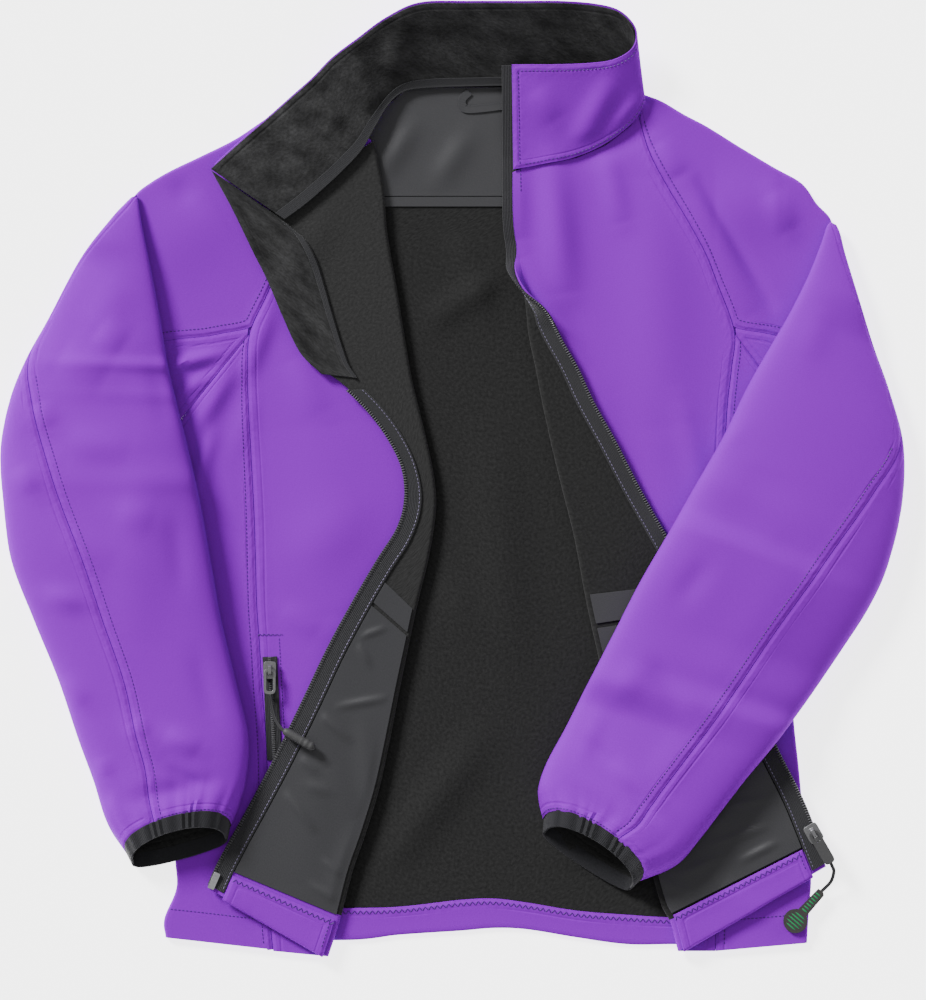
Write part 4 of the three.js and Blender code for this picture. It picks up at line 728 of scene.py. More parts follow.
def ribs(line, normal, pitch, half):
    # Ribs across a line, such as the turns of a zip's coil
    middle, n = spaced(line, normal, pitch)
    p = along(line, middle)
    across = unit(np.cross(n, np.gradient(p, axis=0))) * half
    return p - across, p + across, n


def rods(name, sets, wide, high, material, slot, body="garment"):
    # Small rods from a to b, pointed at both ends: two rings of four points each
    a, b, n = (np.concatenate([one[k] for one in sets]) for k in range(3))
    ahead = b - a
    across = unit(np.cross(n, ahead)) * wide / 2
    rings = []
    for share in (0.2, 0.8):
        m = a + ahead * share
        rings += [m + across, m + n * high, m - across, m - n * high]
    points = np.stack([a] + rings + [b], axis=1)
    start = (np.arange(len(a)) * 10)[:, None, None]
    k = np.arange(4)
    after = (k + 1) % 4
    tips = np.concatenate([np.stack([0 * k, 1 + after, 1 + k], -1),
                           np.stack([0 * k + 9, 5 + k, 5 + after], -1)])
    walls = np.stack([1 + k, 1 + after, 5 + after, 5 + k], -1)
    faces = [(start + tips).reshape(-1, 3), (start + walls).reshape(-1, 4)]
    placed(meshObject(name, metres(points.reshape(-1, 3)), faces, [material], smooth=60), body, slot)


def tube(name, line, radius, material, sides=14, twin=0.0):
    # Round section carried along a line, closed at both ends; twin grooves it into
    # two strands side by side
    line = np.asarray(line, float)
    ahead = unit(np.gradient(line, axis=0))
    across = unit(np.cross(ahead, upward))
    up = np.cross(across, ahead)
    turn = 2 * math.pi * np.arange(sides) / sides
    thin = (1 - 0.4 * twin) * (1 - 0.55 * twin * np.exp(-((np.cos(turn) / 0.35) ** 2)))
    ring = across[:, None] * np.cos(turn)[:, None] + up[:, None] * (np.sin(turn) * thin)[:, None]
    radius = np.broadcast_to(radius, len(line))[:, None, None]
    points = np.concatenate([(line[:, None] + ring * radius).reshape(-1, 3), line[:1], line[-1:]])
    ids = np.arange(len(line) * sides).reshape(-1, sides)
    after = np.roll(ids, -1, axis=1)
    walls = np.stack([ids[:-1], ids[1:], after[1:], after[:-1]], -1).reshape(-1, 4)
    first, last = len(points) - 2, len(points) - 1
    caps = np.concatenate([np.stack([ids[0], after[0], 0 * ids[0] + first], -1),
                           np.stack([after[-1], ids[-1], 0 * ids[0] + last], -1)])
    if signedVolume(points, walls) < 0:
        walls, caps = walls[:, ::-1], caps[:, ::-1]
    length = np.repeat(lengths(line[None], 1)[0], sides)
    uv = np.stack([np.tile(turn / (2 * math.pi), len(line)) * 0.01, length / 1000], -1)
    uv = np.concatenate([uv, uv[:1], uv[-1:]])
    return meshObject(name, metres(points), [walls, caps], [material], uv)


# Camera straight above, as in the photograph, 926 by 1000 pixels
camera = {"away": 8.0, "middleX": 7.7, "middleY": -15.2, "pixel": 0.744, "pixelsHigh": 1000,
          "sensor": 36.0, "near": 0.1, "far": 60}
cameraData = bpy.data.cameras.new("camera")
cameraData.sensor_width = camera["sensor"]
cameraData.lens = camera["sensor"] * camera["away"] / (camera["pixel"] * camera["pixelsHigh"] / 1000)
cameraData.clip_start = camera["near"]
cameraData.clip_end = camera["far"]
eye = bpy.data.objects.new("camera", cameraData)
eye.location = (camera["middleX"] / 1000, camera["middleY"] / 1000, camera["away"])
bpy.context.scene.collection.objects.link(eye)
bpy.context.scene.camera = eye

# Soft light from the upper left, and a pale sky
light = {"sunPower": 6.6, "sunSpread": 16, "fromLeft": 52, "fromBack": 40, "sky": 0.6,
         "skyColour": (1, 1, 1, 1), "floorGlow": 3.2}
sunData = bpy.data.lights.new("sun", "SUN")
sunData.energy = light["sunPower"]
sunData.angle = math.radians(light["sunSpread"])
sun = bpy.data.objects.new("sun", sunData)
sun.rotation_euler = (math.radians(-light["fromBack"]), math.radians(-light["fromLeft"]), 0)
bpy.context.scene.collection.objects.link(sun)
world = bpy.data.worlds.new("studio")
world.use_nodes = True
world.node_tree.nodes["Background"].inputs["Color"].default_value = light["skyColour"]
world.node_tree.nodes["Background"].inputs["Strength"].default_value = light["sky"]
bpy.context.scene.world = world


def colour(red, green, blue):
    # Screen colour 0 to 255 as a linear one, by the screen's power curve
    out = [(c / 255 / 12.92) if c < 10 else ((c / 255 + 0.055) / 1.055) ** 2.4 for c in (red, green, blue)]
    return (*out, 1)


def nodeMaterial(name, finish):
    # New material and its shader, with the constant values of its finish
    made = bpy.data.materials.new(name)
    made.use_nodes = True
    shader = made.node_tree.nodes["Principled BSDF"]
    values = {"Roughness": finish["rough"], "Metallic": finish.get("metal", 0.0),
              "Sheen Weight": finish.get("sheen", 0.0), "Specular IOR Level": finish["specular"],
              "Sheen Tint": colour(*finish.get("tint", (255, 255, 255)))}
    for key, value in values.items():
        shader.inputs[key].default_value = value
    return made, made.node_tree, shader


def addNode(tree, kind, feeds=None, **values):
    # Node with its settings and socket values; feeds names what drives its sockets
    node = tree.nodes.new(kind)
    for key, value in values.items():
        if hasattr(node, key):
            setattr(node, key, value)
        else:
            node.inputs[key].default_value = value
    for key, socket in (feeds or {}).items():
        tree.links.new(socket, node.inputs[key])
    return node


def speckle(tree, coords, scale, low, high):
    # Noise as a height, and as a mix of two colours
    noise = addNode(tree, "ShaderNodeTexNoise", {"Vector": coords}, Scale=scale, Detail=3.0, Roughness=0.6)
    ramp = addNode(tree, "ShaderNodeValToRGB", {"Fac": noise.outputs["Fac"]})
    for element, position, shade in zip(ramp.color_ramp.elements, (0.3, 0.7), (low, high)):
        element.position = position
        element.color = colour(*shade)
    return noise.outputs["Fac"], ramp.outputs["Color"]


def combine(tree, operation, a, b):
    # One sum or product of two values, each a socket or a number
    node = addNode(tree, "ShaderNodeMath", operation=operation)
    for k, value in enumerate((a, b)):
        if isinstance(value, (int, float)):
            node.inputs[k].default_value = value
        else:
            tree.links.new(value, node.inputs[k])
    return node.outputs[0]


def fieldStep(tree, field, reach):
    # Smooth rise from 0 at a sewn line to 1 at some distance from it
    value = addNode(tree, "ShaderNodeAttribute", attribute_name=field).outputs["Fac"]
    step = addNode(tree, "ShaderNodeMapRange", {"Value": value}, interpolation_type="SMOOTHSTEP")
    step.inputs["From Max"].default_value = reach
    return step.outputs["Result"]


def bumpOn(tree, height, strength, distance, below=None):
    # Normal bumped by a height, on top of another bump
    feeds = {"Height": height} if below is None else {"Height": height, "Normal": below}
    return addNode(tree, "ShaderNodeBump", feeds, Strength=strength, Distance=distance).outputs["Normal"]


def weaveHeight(tree, coords, scale, kind):
    # Raised threads: crossed waves for a plain weave, one slanted or straight for twill or rib
    first = addNode(tree, "ShaderNodeTexWave", {"Vector": coords}, Scale=scale,
                    bands_direction="DIAGONAL" if kind == "twill" else "X").outputs["Fac"]
    if kind != "plain":
        return first
    second = addNode(tree, "ShaderNodeTexWave", {"Vector": coords}, Scale=scale, bands_direction="Y")
    return combine(tree, "MULTIPLY", first, second.outputs["Fac"])


# Relief near a sewn edge: reaches in millimetres, then shares and strength of the bump
sewnEdge = {"roll": 3.2, "groove": 1.6, "pucker": 14.0, "puckerScale": 150.0, "puckerHigh": 0.9,
            "grooveHigh": 0.5, "bump": 0.8, "depth": 0.0009}


def clothMaterial(name, low, high, finish):
    # Cloth: fine speckle in colour, wide cloudy places on a brushed nap, bump from its
    # weave and grain, and where it is sewn a rolled edge, a groove under the top
    # stitch and small puckers
    made, tree, shader = nodeMaterial(name, finish)
    place = addNode(tree, "ShaderNodeTexCoord").outputs["UV"]
    height, shade = speckle(tree, place, finish["grain"], low, high)
    if "cloud" in finish:
        cloud = speckle(tree, place, finish["cloud"], (158, 158, 158), (255, 255, 255))[1]
        shade = addNode(tree, "ShaderNodeMixRGB", {"Color1": shade, "Color2": cloud},
                        blend_type="MULTIPLY", Fac=1.0).outputs["Color"]
    tree.links.new(shade, shader.inputs["Base Color"])
    below = None
    if finish.get("sewn"):
        roll = fieldStep(tree, "seam", sewnEdge["roll"])
        groove = fieldStep(tree, "stitch", sewnEdge["groove"])
        near = combine(tree, "SUBTRACT", 1.0, fieldStep(tree, "seam", sewnEdge["pucker"]))
        noise = addNode(tree, "ShaderNodeTexNoise", {"Vector": place}, Detail=1.0,
                        Scale=sewnEdge["puckerScale"])
        pucker = combine(tree, "MULTIPLY", near, noise.outputs["Fac"])
        relief = combine(tree, "ADD", roll, combine(tree, "MULTIPLY", groove, sewnEdge["grooveHigh"]))
        relief = combine(tree, "ADD", relief, combine(tree, "MULTIPLY", pucker, sewnEdge["puckerHigh"]))
        below = bumpOn(tree, relief, sewnEdge["bump"], sewnEdge["depth"])
    if "weave" in finish:
        height = combine(tree, "ADD", weaveHeight(tree, place, finish["weave"], finish["kind"]), height)
    tree.links.new(bumpOn(tree, height, finish["bump"], finish["depth"], below), shader.inputs["Normal"])
    return made


def plainMaterial(name, base, rough, grain, metal=0.0, specular=0.5, bump=0.15):
    # Moulded or metal part: slight mottling and grain on its own place
    made, tree, shader = nodeMaterial(name, {"rough": rough, "metal": metal, "specular": specular})
    place = addNode(tree, "ShaderNodeTexCoord").outputs["Object"]
    height, shade = speckle(tree, place, grain, [c * 0.86 for c in base], base)
    tree.links.new(shade, shader.inputs["Base Color"])
    tree.links.new(bumpOn(tree, height, bump, 0.0002), shader.inputs["Normal"])
    return made


softshell = clothMaterial("softshell", (121, 0, 176), (131, 0, 190), {
    "rough": 0.75, "sheen": 0.02, "tint": (200, 60, 255), "specular": 0.05, "grain": 1100.0,
    "weave": 420.0, "kind": "plain", "bump": 0.2, "depth": 0.0003, "sewn": True})
nap = {"rough": 1.0, "sheen": 0.08, "specular": 0.05, "grain": 420.0, "bump": 0.6, "depth": 0.0008,
       "sewn": True}
fleece = clothMaterial("fleece", (29, 29, 29), (42, 42, 42), nap)
# Lighter copy of the fleece for the turned-back left front, with the sheen of its nap painted in
frontFleecePaintedSheen = clothMaterial("front_fleece_painted_sheen", (38, 38, 38), (49, 49, 49), nap)
# Lighter copy of the fleece for the collar lining and the zip guard: painted light where they stand higher
# towards the sun
collarFleecePaintedLight = clothMaterial("collar_fleece", (46, 46, 46), (62, 62, 63), {**nap, "cloud": 55.0})
woven = clothMaterial("pocket_cloth", (38, 38, 41), (47, 47, 50), {
    "rough": 0.5, "sheen": 0.1, "specular": 0.4, "grain": 900.0, "weave": 500.0, "kind": "twill",
    "bump": 0.25, "depth": 0.0003})
ribbed = clothMaterial("ribbed_tape", (32, 32, 34), (44, 44, 47), {
    "rough": 0.8, "sheen": 0.15, "specular": 0.25, "grain": 900.0, "weave": 260.0, "kind": "rib",
    "bump": 0.6, "depth": 0.0005})
binding = clothMaterial("binding", (26, 26, 29), (36, 36, 40), {
    "rough": 0.85, "sheen": 0.1, "specular": 0.2, "grain": 700.0, "weave": 240.0, "kind": "rib",
    "bump": 0.5, "depth": 0.0005})
violetThread = plainMaterial("violet_thread", (66, 12, 112), 0.6, 2500.0)
greyThread = plainMaterial("grey_thread", (120, 112, 140), 0.6, 2500.0)
# Zip coil: its own colour is black, lightened to grey as a painted highlight on its turns
coilPlasticPaintedHighlight = plainMaterial("coil_plastic_painted_highlight", (88, 88, 90), 0.3, 2500.0, specular=0.8)
gunmetal = plainMaterial("gunmetal", (132, 132, 134), 0.34, 900.0, metal=0.8)
steel = plainMaterial("steel", (190, 190, 194), 0.3, 900.0, metal=0.95)
rubber = plainMaterial("rubber", (62, 62, 63), 0.6, 700.0, specular=0.35)
tagRubber = plainMaterial("tag_rubber", (52, 50, 49), 0.65, 700.0, specular=0.3)
cordCloth = plainMaterial("cord_cloth", (46, 46, 48), 0.7, 1800.0, specular=0.25, bump=0.5)
green = plainMaterial("green_inlay", (10, 128, 72), 0.5, 700.0)
# Kinds of cloth: thickness, finish and slot
kinds = {"shell": (wall["shell"], softshell, "softshell"), "back": (wall["shell"], fleece, "fleece"),
         "collar": (wall["lining"], softshell, "softshell"), "nap": (wall["lining"], collarFleecePaintedLight, "fleece"),
         "turning": (wall["trim"], softshell, "softshell"), "trim": (wall["trim"], woven, "pocket_cloth"),
         "neckTape": (wall["trim"], ribbed, "pocket_cloth"), "tape": (wall["trim"], ribbed, "binding"),
         "binding": (wall["binding"], binding, "binding")}
print("materials made")

# Table top
floorMaterial, _, floorShader = nodeMaterial("table_top", {"rough": 0.95, "specular": 0.2})
floorShader.inputs["Base Color"].default_value = (0.98, 0.98, 0.98, 1)
floorShader.inputs["Emission Color"].default_value = (1, 1, 1, 1)
floorShader.inputs["Emission Strength"].default_value = light["floorGlow"]
floorPoints = np.array([(-6, -6, -0.0002), (6, -6, -0.0002), (6, 6, -0.0002), (-6, 6, -0.0002)])
meshObject("table_top", floorPoints, [np.array([[0, 1, 2, 3]])], [floorMaterial])

# Pulls of the two zips
pulls = {"pocketX": -135.5, "pocketY": -141.0, "pocketBase": 0.9, "pocketTop": 3.2, "mainX": 268.5,
         "mainY": -262.0, "mainBase": 0.8, "mainTop": 3.6, "axisRise": 1.9, "cordRadius": 1.3, "tagX": 274.0,
         "tagY": -305.4, "tagLow": 1.3, "tagThick": 2.4, "tagReach": 29.0}
tabZ = (float(bodyTop(pulls["pocketX"], pulls["pocketY"])) + overCloth + pulls["pocketBase"]
        + pulls["pocketTop"] + pulls["axisRise"])
mainTabZ = (float(turnTop(pulls["mainX"], pulls["mainY"])) + overCloth + pulls["mainBase"]
            + pulls["mainTop"] + pulls["axisRise"])
tagZ = float(bodyTop(262.0, -318.0)) + pulls["tagLow"]


def smoothPath(points, count):
    # Catmull-Rom curve through a few points
    r = rowAt(dict(zip("xyz", np.array(points, float).T)), np.linspace(0, 1, count))
    return np.stack([r["x"], r["y"], r["z"]], -1)


def cordPiece(name, points, body, node):
    # Free cord along a route; its length is that of the route
    route = smoothPath(points, 34)
    made = placed(tube(name, route, pulls["cordRadius"], cordCloth, 24, 1.0), body, "cord", node)
    place = metres(route)


# Moulded end of the pocket cord: a rounded rod, ringed towards its free end
mouldedEnd = {"from": (-122.6, -187.0, 5.0), "to": (-104.5, -197.5, 6.3), "radius": 3.4, "past": 0.16,
              "rings": 5, "ringHigh": 0.05, "ringsFrom": 0.55}
endFrom, endTo = (np.array(mouldedEnd[key]) + np.array([0, 0, tabZ]) for key in ("from", "to"))
share = np.linspace(-mouldedEnd["past"], 1 + mouldedEnd["past"], 40)
round7 = np.clip(1 - (np.abs(share - 0.5) / (0.5 + mouldedEnd["past"])) ** 7, 0.0004, 1) ** 0.5
rings = mouldedEnd["ringHigh"] * np.cos(2 * math.pi * share * mouldedEnd["rings"])
endRadius = mouldedEnd["radius"] * round7 * (1 + rings * (share > mouldedEnd["ringsFrom"]))
cordEnd = tube("cord_end_moulded", endFrom + (endTo - endFrom) * share[:, None], endRadius, rubber, 20)
placed(cordEnd, "pocket_pull", "pull_rubber", "pocket_cord_end")
cordPiece("pocket_pull_cord", [
    (-135.2, -159.6, tabZ), (-134, -168, tabZ - 0.3), (-131, -178, tabZ + 1.3),
    (-126.5, -184.5, tabZ + 3.5), (-122.8, -186.9, tabZ + 4.9)], "pocket_pull", "pocket_cord")
cordPiece("tag_pull_cord", [
    (280.3, -282.2, mainTabZ), (282.1, -286, mainTabZ - 0.3), (283.6, -290.5, mainTabZ - 2.2),
    (281.6, -298, tagZ + 4), (276, -304.2, tagZ + 1.4), (273.4, -306.4, tagZ + 1.2)],
    "main_pull", "tag_cord")

# CAD parts kept as they are: their finish, and small rounds on their edges
for node, material, bevel in (("pocket_slider", gunmetal, 0.35), ("pocket_tab", gunmetal, 0.4),
                              ("main_slider", gunmetal, 0.35), ("main_tab", rubber, 0.5),
                              ("tag", tagRubber, 0.35), ("zip_pin_left", steel, 0.4)):
    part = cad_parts[node]
    if part.material_slots:
        part.material_slots[0].link = "OBJECT"
        part.material_slots[0].material = material
    else:
        part.data.materials.append(material)
    part.modifiers.new("weld", "WELD").merge_threshold = 0.00001
    rounds = part.modifiers.new("rounds", "BEVEL")
    rounds.width = bevel / 1000
    rounds.segments = 2
    rounds.limit_method = "ANGLE"
    rounds.angle_limit = math.radians(35)

# Plain straight ribs let into the tag's shaft and disc
tagRibs = {"wide": 1.1, "high": 0.3, "half": 2.4, "from": 3.0, "to": 19.0, "step": 2.6, "discRadius": 6.9}
tagWay = unit(np.array([-20.0, -23.6, 0.0]))
tagSide = np.array([-tagWay[1], tagWay[0], 0.0])
tagStart = np.array([pulls["tagX"], pulls["tagY"], tagZ + pulls["tagThick"]])
onShaft = np.arange(tagRibs["from"], tagRibs["to"], tagRibs["step"])[:, None]
onDisc = np.arange(-2, 3)[:, None] * tagRibs["step"]
inlay = []
for d, half in ((onShaft, tagRibs["half"]),
                (pulls["tagReach"] + onDisc, np.sqrt(tagRibs["discRadius"] ** 2 - onDisc ** 2))):
    middle = tagStart + tagWay * d
    inlay.append((middle - tagSide * half, middle + tagSide * half, upward + 0 * d))
rods("tag_inlay", inlay, tagRibs["wide"], tagRibs["high"], green, "pull_rubber", "main_pull")
print("pulls made")

# How fine the grids are
fine = {"frontRows": 210, "front": (38, 10, 32), "side": (20, 10, 10), "sideRows": 120,
        "shoulder": (28, 10, 5), "shoulderRows": 90, "sleeveRows": 200, "sleeveTop": 64, "sleeveLow": 26,
        "backRows": 150, "backCols": 84, "collarCols": 190, "collarRows": 26, "seamRows": 120,
        "hemRows": 160}

# Back, hem, neck facing
back = {"hemLevel": -345, "hemDrop": 8, "clear": 8, "fade": 25, "bareTop": 195, "bareLow": -300,
        "creases": 1.6}
facing = {"z": wall["shell"] + layout["gap"] + wall["trim"] / 2, "bandLeft": -74, "bandWide": 200,
          "bandTop": 211, "bandDeep": 7.4}


def acrossRow(rows, u, v):
    # Points between the left and right end of each row: x by u, y by v
    r = rowAt(rows, v.ravel())
    left, right, rowY = (r[key][:, None] for key in ("leftX", "rightX", "rowY"))
    return left + (right - left) * u, rowY + 0 * u


def backPoints(u, v):
    # Back of the body: its foot drops to the hem's line, and low creases rise where it is bare
    x, rowY = acrossRow(backRows, u, v)
    shift = lookUp(hemRows, "acrossX", "lowY", x) - back["hemLevel"]
    y = rowY - back["hemDrop"] * soft((v - 0.9) / 0.1) + shift * soft((v - 0.8) / 0.2)
    inLeft = lookUp(frontLeftRows, "foldY", "foldX", y) + back["clear"]
    inRight = lookUp(frontRightRows, "foldY", "foldX", y) - back["clear"]
    bare = soft((x - inLeft) / back["fade"]) * soft((inRight - x) / back["fade"])
    bare = bare * soft((back["bareTop"] - y) / back["fade"]) * soft((y - back["bareLow"]) / back["fade"])
    return stack(x, y, floorZ + back["creases"] * bare * foldHeight(backFolds, x, y))


def strip(path, wide):
    # Flat strip carried along a path, its width level
    ahead = np.gradient(path, axis=0)
    across = unit(np.stack([-ahead[:, 1], ahead[:, 0], 0 * ahead[:, 0]], -1))
    return path[:, None] + across[:, None] * (np.linspace(-0.5, 0.5, 5) * wide)[None, :, None]


cloth("back_fleece", patch(backPoints, 0, 1, fine["backCols"], 0, 1, fine["backRows"]), "back", "back_panel")
hem = rowAt(hemRows, shares(fine["hemRows"]))
hemTop, hemLow = (np.stack([hem["acrossX"], hem[key]], -1) for key in ("topY", "lowY"))
onBack = flatAt(wall["shell"] * 1.5 + layout["gap"])
hemGrid = sheetGrid(foldSheet(hemTop, hemLow, hemLow + np.array([0, 4.4]), onBack, onFloor, True), (8, 6, 2))
cloth("hem_back", hemGrid, "shell", "back_hem", sewn="left")
facingGrid = patch(lambda u, v: stack(*acrossRow(facingRows, u, v), facing["z"]), 0, 1, 70, 0, 1, 40)
cloth("neck_facing", creased(facingGrid, facingFolds), "trim", "back_neck_facing")
bandX = facing["bandLeft"] + facing["bandWide"] * shares(60)[None, :]
bandY = facing["bandTop"] - facing["bandDeep"] * shares(4)[:, None]
cloth("neck_facing_band", stack(bandX, bandY, facing["z"]), "trim", "facing_band")
hanger = [(13, 289, 3.3), (8, 284, 3.3), (8, 279, 3.3), (14, 276, 3.3), (50, 280, 3.3)]
cloth("hanger", strip(smoothPath(hanger, 33), 6), "trim", "hanger_loop")

# Collar: outer cloth and fleece either side of one surface, and the tape over its seam
collar = {"apart": 0.8, "tapeGap": 0.45, "topStitch": 5.0, "edgeStitch": 2.6, "face": 1.4}
tapeLift = collar["apart"] + wall["lining"] / 2 + collar["tapeGap"] + wall["trim"] / 2
cloth("collar_outer", patch(collarPoints, 0.007, 1, fine["collarCols"], 0, 1, fine["collarRows"]), "collar",
      "collar_shell", shift=-collar["apart"], sewn="top bottom right",
      topStitch=collar["topStitch"])
cloth("collar_fleece", patch(collarPoints, 0, 1, fine["collarCols"], 0.01, 0.985, fine["collarRows"]), "nap",
      "collar_lining", shift=collar["apart"], sewn="bottom left",
      topStitch=collar["topStitch"])
cloth("neck_tape_strip", patch(collarPoints, 0, 16 / 28, 110, -0.03, 0.1, 5), "neckTape", "neck_tape",
      shift=tapeLift)

# The two halves of the body with their sleeves
sides = {
    "left": {"side": -1, "front": frontLeftRows, "flank": sideLeftRows, "shoulder": shoulderLeftRows,
             "head": headLeftRows, "sleeve": sleeveLeftRows, "rest": restLeft, "lining": frontFleecePaintedSheen,
             "zipRim": "right top"},
    "right": {"side": 1, "front": frontRightRows, "flank": sideRightRows, "shoulder": shoulderRightRows,
              "head": headRightRows, "sleeve": sleeveRightRows, "rest": restRight, "lining": fleece,
              "zipRim": ""}}
for which, s in sides.items():
    s["seams"] = rowAt(s["front"], shares(fine["seamRows"]))
    s["frontGrid"] = sheetGrid(frontSheet(s, shares(fine["frontRows"])), fine["front"])
    cloth(f"front_cloth_{which}", s["frontGrid"], "shell", f"front_{which}", inside=s["lining"], sewn="left",
          rim=s["zipRim"], turnUp=0.94)
    s["sideGrid"] = sheetGrid(sideSheet(s, shares(fine["sideRows"])), fine["side"])
    cloth(f"side_cloth_{which}", s["sideGrid"], "shell", f"side_{which}", inside=fleece, sewn="left top",
          turnUp=0.94)
    s["shoulderGrid"] = sheetGrid(shoulderSheet(s, shares(fine["shoulderRows"])), fine["shoulder"])
    cloth(f"shoulder_cloth_{which}", s["shoulderGrid"], "shell", f"shoulder_{which}", inside=fleece,
          sewn="left")
    cloth(f"sleeve_head_cloth_{which}", headGrid(s, 30, 16), "shell", f"sleeve_head_{which}", inside=fleece,
          sewn="left right")
    s["topGrid"] = sleeveGrid(s, seamShare, lowShare, fine["sleeveTop"])
    cloth(f"sleeve_upper_{which}", s["topGrid"], "shell", f"sleeve_back_{which}",
          inside=fleece, sewn="left bottom", rim="right bottom")
    underGrid = sleeveGrid(s, lowShare, lambda r: 1 + seamShare(r), fine["sleeveLow"], sleeve["lap"])
    cloth(f"sleeve_under_{which}", underGrid, "shell", f"sleeve_front_{which}", inside=fleece,
          outside=-1, sewn="right bottom", rim="left bottom")
    cloth(f"cuff_binding_{which}", cuffGrid(s, 6, 96), "binding", f"cuff_{which}", ring=True)
    print("cloth of the", which, "half made")

# Seam allowances: turned-in edges that close the seams from below
turning = {"under": 1.35, "lowest": 1.9, "wide": 8, "aside": 0.5, "ahead": 2, "crossTop": 116}


def allowance(name, x, y):
    # Strip along a seam, a little under the upper face and above the back
    path = stack(x, y, np.maximum(bodyTop(x, y) - turning["under"], turning["lowest"]))
    cloth(name, strip(path, turning["wide"]), "turning", None)


for which, s in sides.items():
    allowance(f"seam_allowance_front_{which}", s["seams"]["seamX"] + s["side"] * turning["aside"],
              s["seams"]["seamY"] + turning["ahead"] - shares(fine["seamRows"]))
    cross = s["shoulderGrid"][:, 0]
    cross = cross[cross[:, 1] < turning["crossTop"]]
    allowance(f"seam_allowance_cross_{which}", cross[:, 0], cross[:, 1])

# Inner side of the fronts: guard, tape, pocket bags with their bands, turned-up hems
guardLift = wall["shell"] / 2 + layout["gap"] + wall["lining"] / 2
stripLift = wall["shell"] + layout["gap"]
legs = {"left": {"inset": 11.6, "band": (0.592, 0.62, 7), "bag": (0.624, 0.944, 130),
                 "hem": (0.95, 1, 12)},
        "right": {"inset": 11.8, "band": (0.625, 0.65, 7), "bag": (0.654, 0.928, 120),
                  "hem": (0.935, 1, 14)}}


def guardPoints(u, v):
    # Guard on the turned front: v down its length, u from its inner to its outer edge
    r = {key: value.reshape(-1, 1) for key, value in rowAt(guardRows, v.ravel()).items()}
    x = r["inX"] + (r["outX"] - r["inX"]) * u
    y = r["inY"] + (r["outY"] - r["inY"]) * u
    return stack(x, y, turnTop(x, y) + guardLift)


def legStrip(which, run, near, cols, lift, far=400):
    # Strip over a turned front: run is from, to and count of its rows, near and far
    # are distances from the zip edge, and past the fold far stops at it
    return lifted(legPatch(frontSheet(sides[which], np.linspace(*run)), near, far, cols), lift)


cloth("zip_guard", patch(guardPoints, 0, 1, 16, 0, 1, 60), "nap", "zip_guard_left",
      sewn="left right")
cloth("guard_rib", patch(guardPoints, 0.02, 0.13, 4, 0.06, 1, 60), "tape", None, shift=1.1)
leftTape = legStrip("left", (0.278, 0.992, 180), -3, 6, overCloth, 11)
cloth("tape_left", leftTape, "tape", "zip_tape_left")
for which, leg in legs.items():
    cloth(f"pocket_bag_band_{which}", legStrip(which, leg["band"], leg["inset"], 30, overCloth), "trim",
          f"pocket_band_{which}")
    bagGrid = creased(legStrip(which, leg["bag"], leg["inset"], 50, overCloth), bagFolds)
    cloth(f"pocket_bag_cloth_{which}", bagGrid, "trim", f"pocket_bag_{which}")
    leg["hemGrid"] = curled(legStrip(which, leg["hem"], leg["inset"], 36, stripLift), stripLift)
    cloth(f"hem_front_{which}", leg["hemGrid"], "shell", f"front_hem_{which}",
          sewn="top left right")


def tapeGrid(edge, near, inside, beyond, inner):
    # Tape whose rows lie across an edge, from beyond it to inside it, moved to its inner side
    inside, beyond, inner = (np.broadcast_to(value, len(edge))[:, None] for value in (inside, beyond, inner))
    out = unit(edge - near)
    n = unit(np.cross(out, unit(np.gradient(edge, axis=0)))) * -inner
    d = beyond + (-inside - beyond) * shares(6)[None, :]
    return edge[:, None] + out[:, None] * d[..., None] + n[:, None]


# Right tape: down the front edge of the collar, then down the zip edge, where it narrows
collarV = np.linspace(0.985, 0.08, 26)
collarTape = tapeGrid(collarPoints(np.full(26, 1.0), collarV), collarPoints(np.full(26, 0.985), collarV),
                      3.0, 8.0, tapeLift)
rightV = np.linspace(0.03, 0.992, 190)
rightSheet = frontSheet(sides["right"], rightV)
rightEdge = rightSheet["last"](np.array([1.0]))[:, 0]
rightNear = rightSheet["last"](1 - np.minimum(2 / rightSheet["reach"], 1)[:, None])[:, 0]
rightInside = 2 + (np.clip(rightSheet["reach"] - 4, 1.2, 11) - 2) * soft((rightV - 0.17) / 0.1)
rightTape = tapeGrid(rightEdge, rightNear, rightInside, 8 - 5 * soft((rightV - 0.14) / 0.16),
                     overCloth + 1.3 * (1 - soft(rightV / 0.2)))
wholeTape = np.concatenate([collarTape, rightTape])
cloth("tape_right", wholeTape, "tape", "zip_tape_right")

pocket = {"x": -135.5, "top": -131, "low": -208, "slant": 3.6, "rise": 0.1, "wide": 11}
pocketY = np.linspace(pocket["top"], pocket["low"], 60)
pocketTape = strip(stack(pocket["x"] + pocket["slant"] * shares(59), pocketY,
                         bodyTop(pocket["x"], pocketY) + overCloth + pocket["rise"]), pocket["wide"])
cloth("pocket_zip_tape", pocketTape, "tape", "pocket_zip_left")
print("cloth finished")

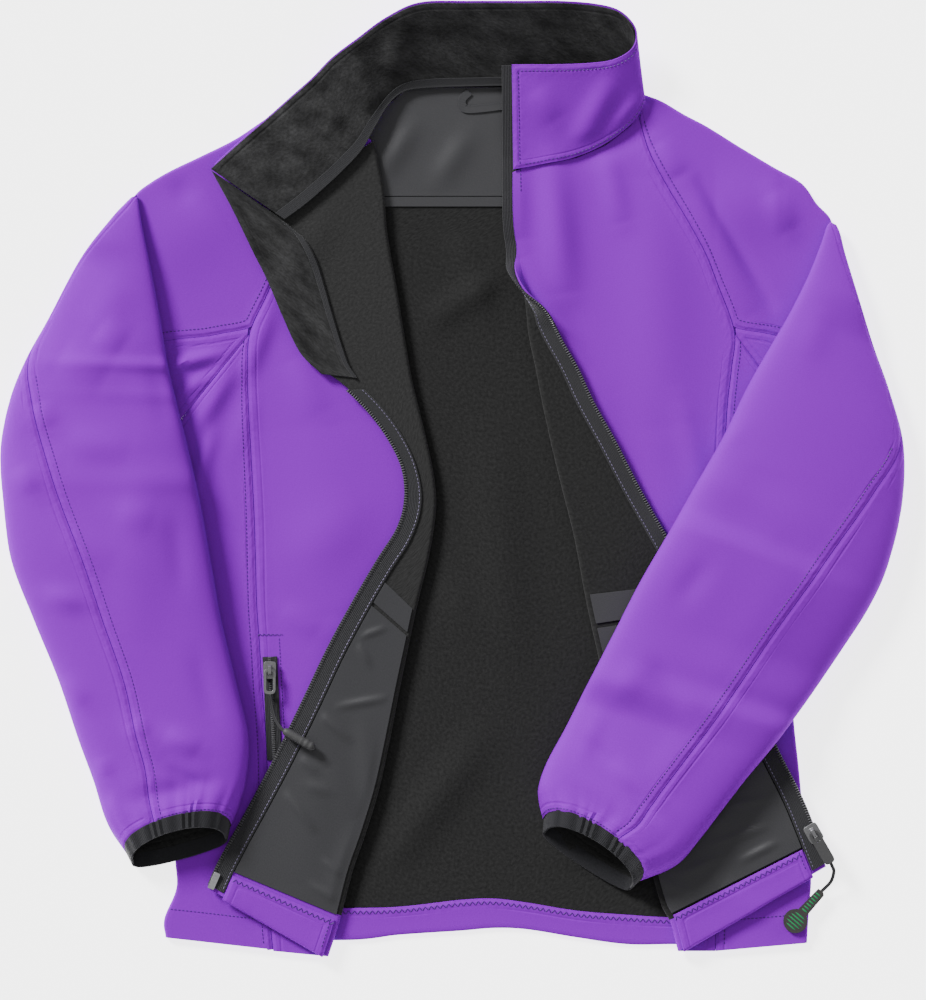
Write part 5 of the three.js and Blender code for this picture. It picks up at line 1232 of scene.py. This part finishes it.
# Sewing: violet thread on the outer cloth, paler thread on the tapes. Rows are grid,
# edge, distance from it and part of its length
sewing = {"pitch": 2.9, "wide": 0.75, "high": 0.42, "zigzag": 1.5, "zigzagPitch": 2.2, "pale": 0.8}
onCloth, onTrim = wall["shell"] / 2, wall["trim"] / 2
stitchRows = []
for s in sides.values():
    stitchRows += [
        (s["shoulderGrid"], "left", 6.5, (0.03, 1)), (s["sideGrid"], "left", 6.5, (0.0, 0.995)),
        (s["topGrid"], "left", 6.5, (0.36, 0.99)), (s["sideGrid"], "bottom", 22, (0.0, 0.6)),
        (s["frontGrid"], "bottom", 22, (0.0, 0.34)), (s["topGrid"], "bottom", 2.4, (0.02, 0.98))]
lineSet = [runLine(grid, edge, away, onCloth, part) for grid, edge, away, part in stitchRows]
collarOuter = patch(collarPoints, 0, 1, fine["collarCols"], 0, 1, fine["collarRows"])
lineSet += [runLine(collarOuter, edge, away, collar["face"], part, -1) for edge, away, part in (
    ("bottom", collar["topStitch"], (0.735, 0.985)), ("top", collar["edgeStitch"], (0.735, 0.985)),
    ("right", collar["topStitch"], (0.04, 0.96)))]
lineSet.append(runLine(sides["right"]["frontGrid"], "right", 6.5, onCloth, (0.0, 0.05)))
violet = [threads(line, n, sewing["pitch"]) for line, n in lineSet]
leftHem, rightHem = (leg["hemGrid"] for leg in legs.values())
for grid, edge in ((hemGrid, "left"), (leftHem, "top"), (rightHem, "top")):
    violet.append(threads(*runLine(grid, edge, 3.4, onCloth), sewing["zigzagPitch"], 1.0, sewing["zigzag"]))
for grid, edge in ((leftHem, "left"), (rightHem, "right")):
    violet.append(threads(*runLine(grid, edge, 3.2, onCloth, (0.0, 0.6)), sewing["pitch"]))
barTack = stack(np.linspace(-144.5, -124, 12), -115.0, bodyTop(-135.0, -115.0) + onCloth)
pocketEdge = stack(np.linspace(-128.5, -123.5, 40), np.linspace(-117, -208, 40), 0.0)
pocketEdge[:, 2] = bodyTop(pocketEdge[:, 0], pocketEdge[:, 1]) + onCloth
violet += [threads(barTack, upward + 0 * barTack, 1.6, 1.0, 0.9),
           threads(pocketEdge, upward + 0 * pocketEdge, 2.6)]
rods("stitches_violet", violet, sewing["wide"], sewing["high"], violetThread, "softshell")
pale = [threads(*runLine(grid, edge, away, onTrim, part), sewing["pitch"]) for grid, edge, away, part in (
    (leftTape, "left", 1.8, (0.0, 1.0)), (wholeTape, "right", 1.8, (0.26, 1)),
    (wholeTape, "left", 1.4, (0.0, 0.42)))]
rods("stitches_pale", pale, sewing["wide"] * sewing["pale"], sewing["high"], greyThread, "binding")

# Zip coils: ribs over the edge of each tape, and down the middle of the pocket's
coil = {"pitch": 1.9, "half": 1.5, "wide": 1.35, "high": 0.85, "inset": 1.4, "rise": 0.1,
        "pocketPitch": 1.4, "pocketHalf": 1.6}
coilSet = []
for grid, edge in ((leftTape, "right"), (wholeTape, "left")):
    edgeLine = runLine(grid, edge, coil["inset"], onTrim + coil["rise"])
    coilSet.append(ribs(*edgeLine, coil["pitch"], coil["half"]))
pocketMiddle = pocketTape[:, 2] + upward * (onTrim + coil["rise"])
coilSet.append(ribs(pocketMiddle, upward + 0 * pocketMiddle, coil["pocketPitch"], coil["pocketHalf"]))
rods("zip_coils", coilSet, coil["wide"], coil["high"], coilPlasticPaintedHighlight, "binding")
print("sewing and zips made")
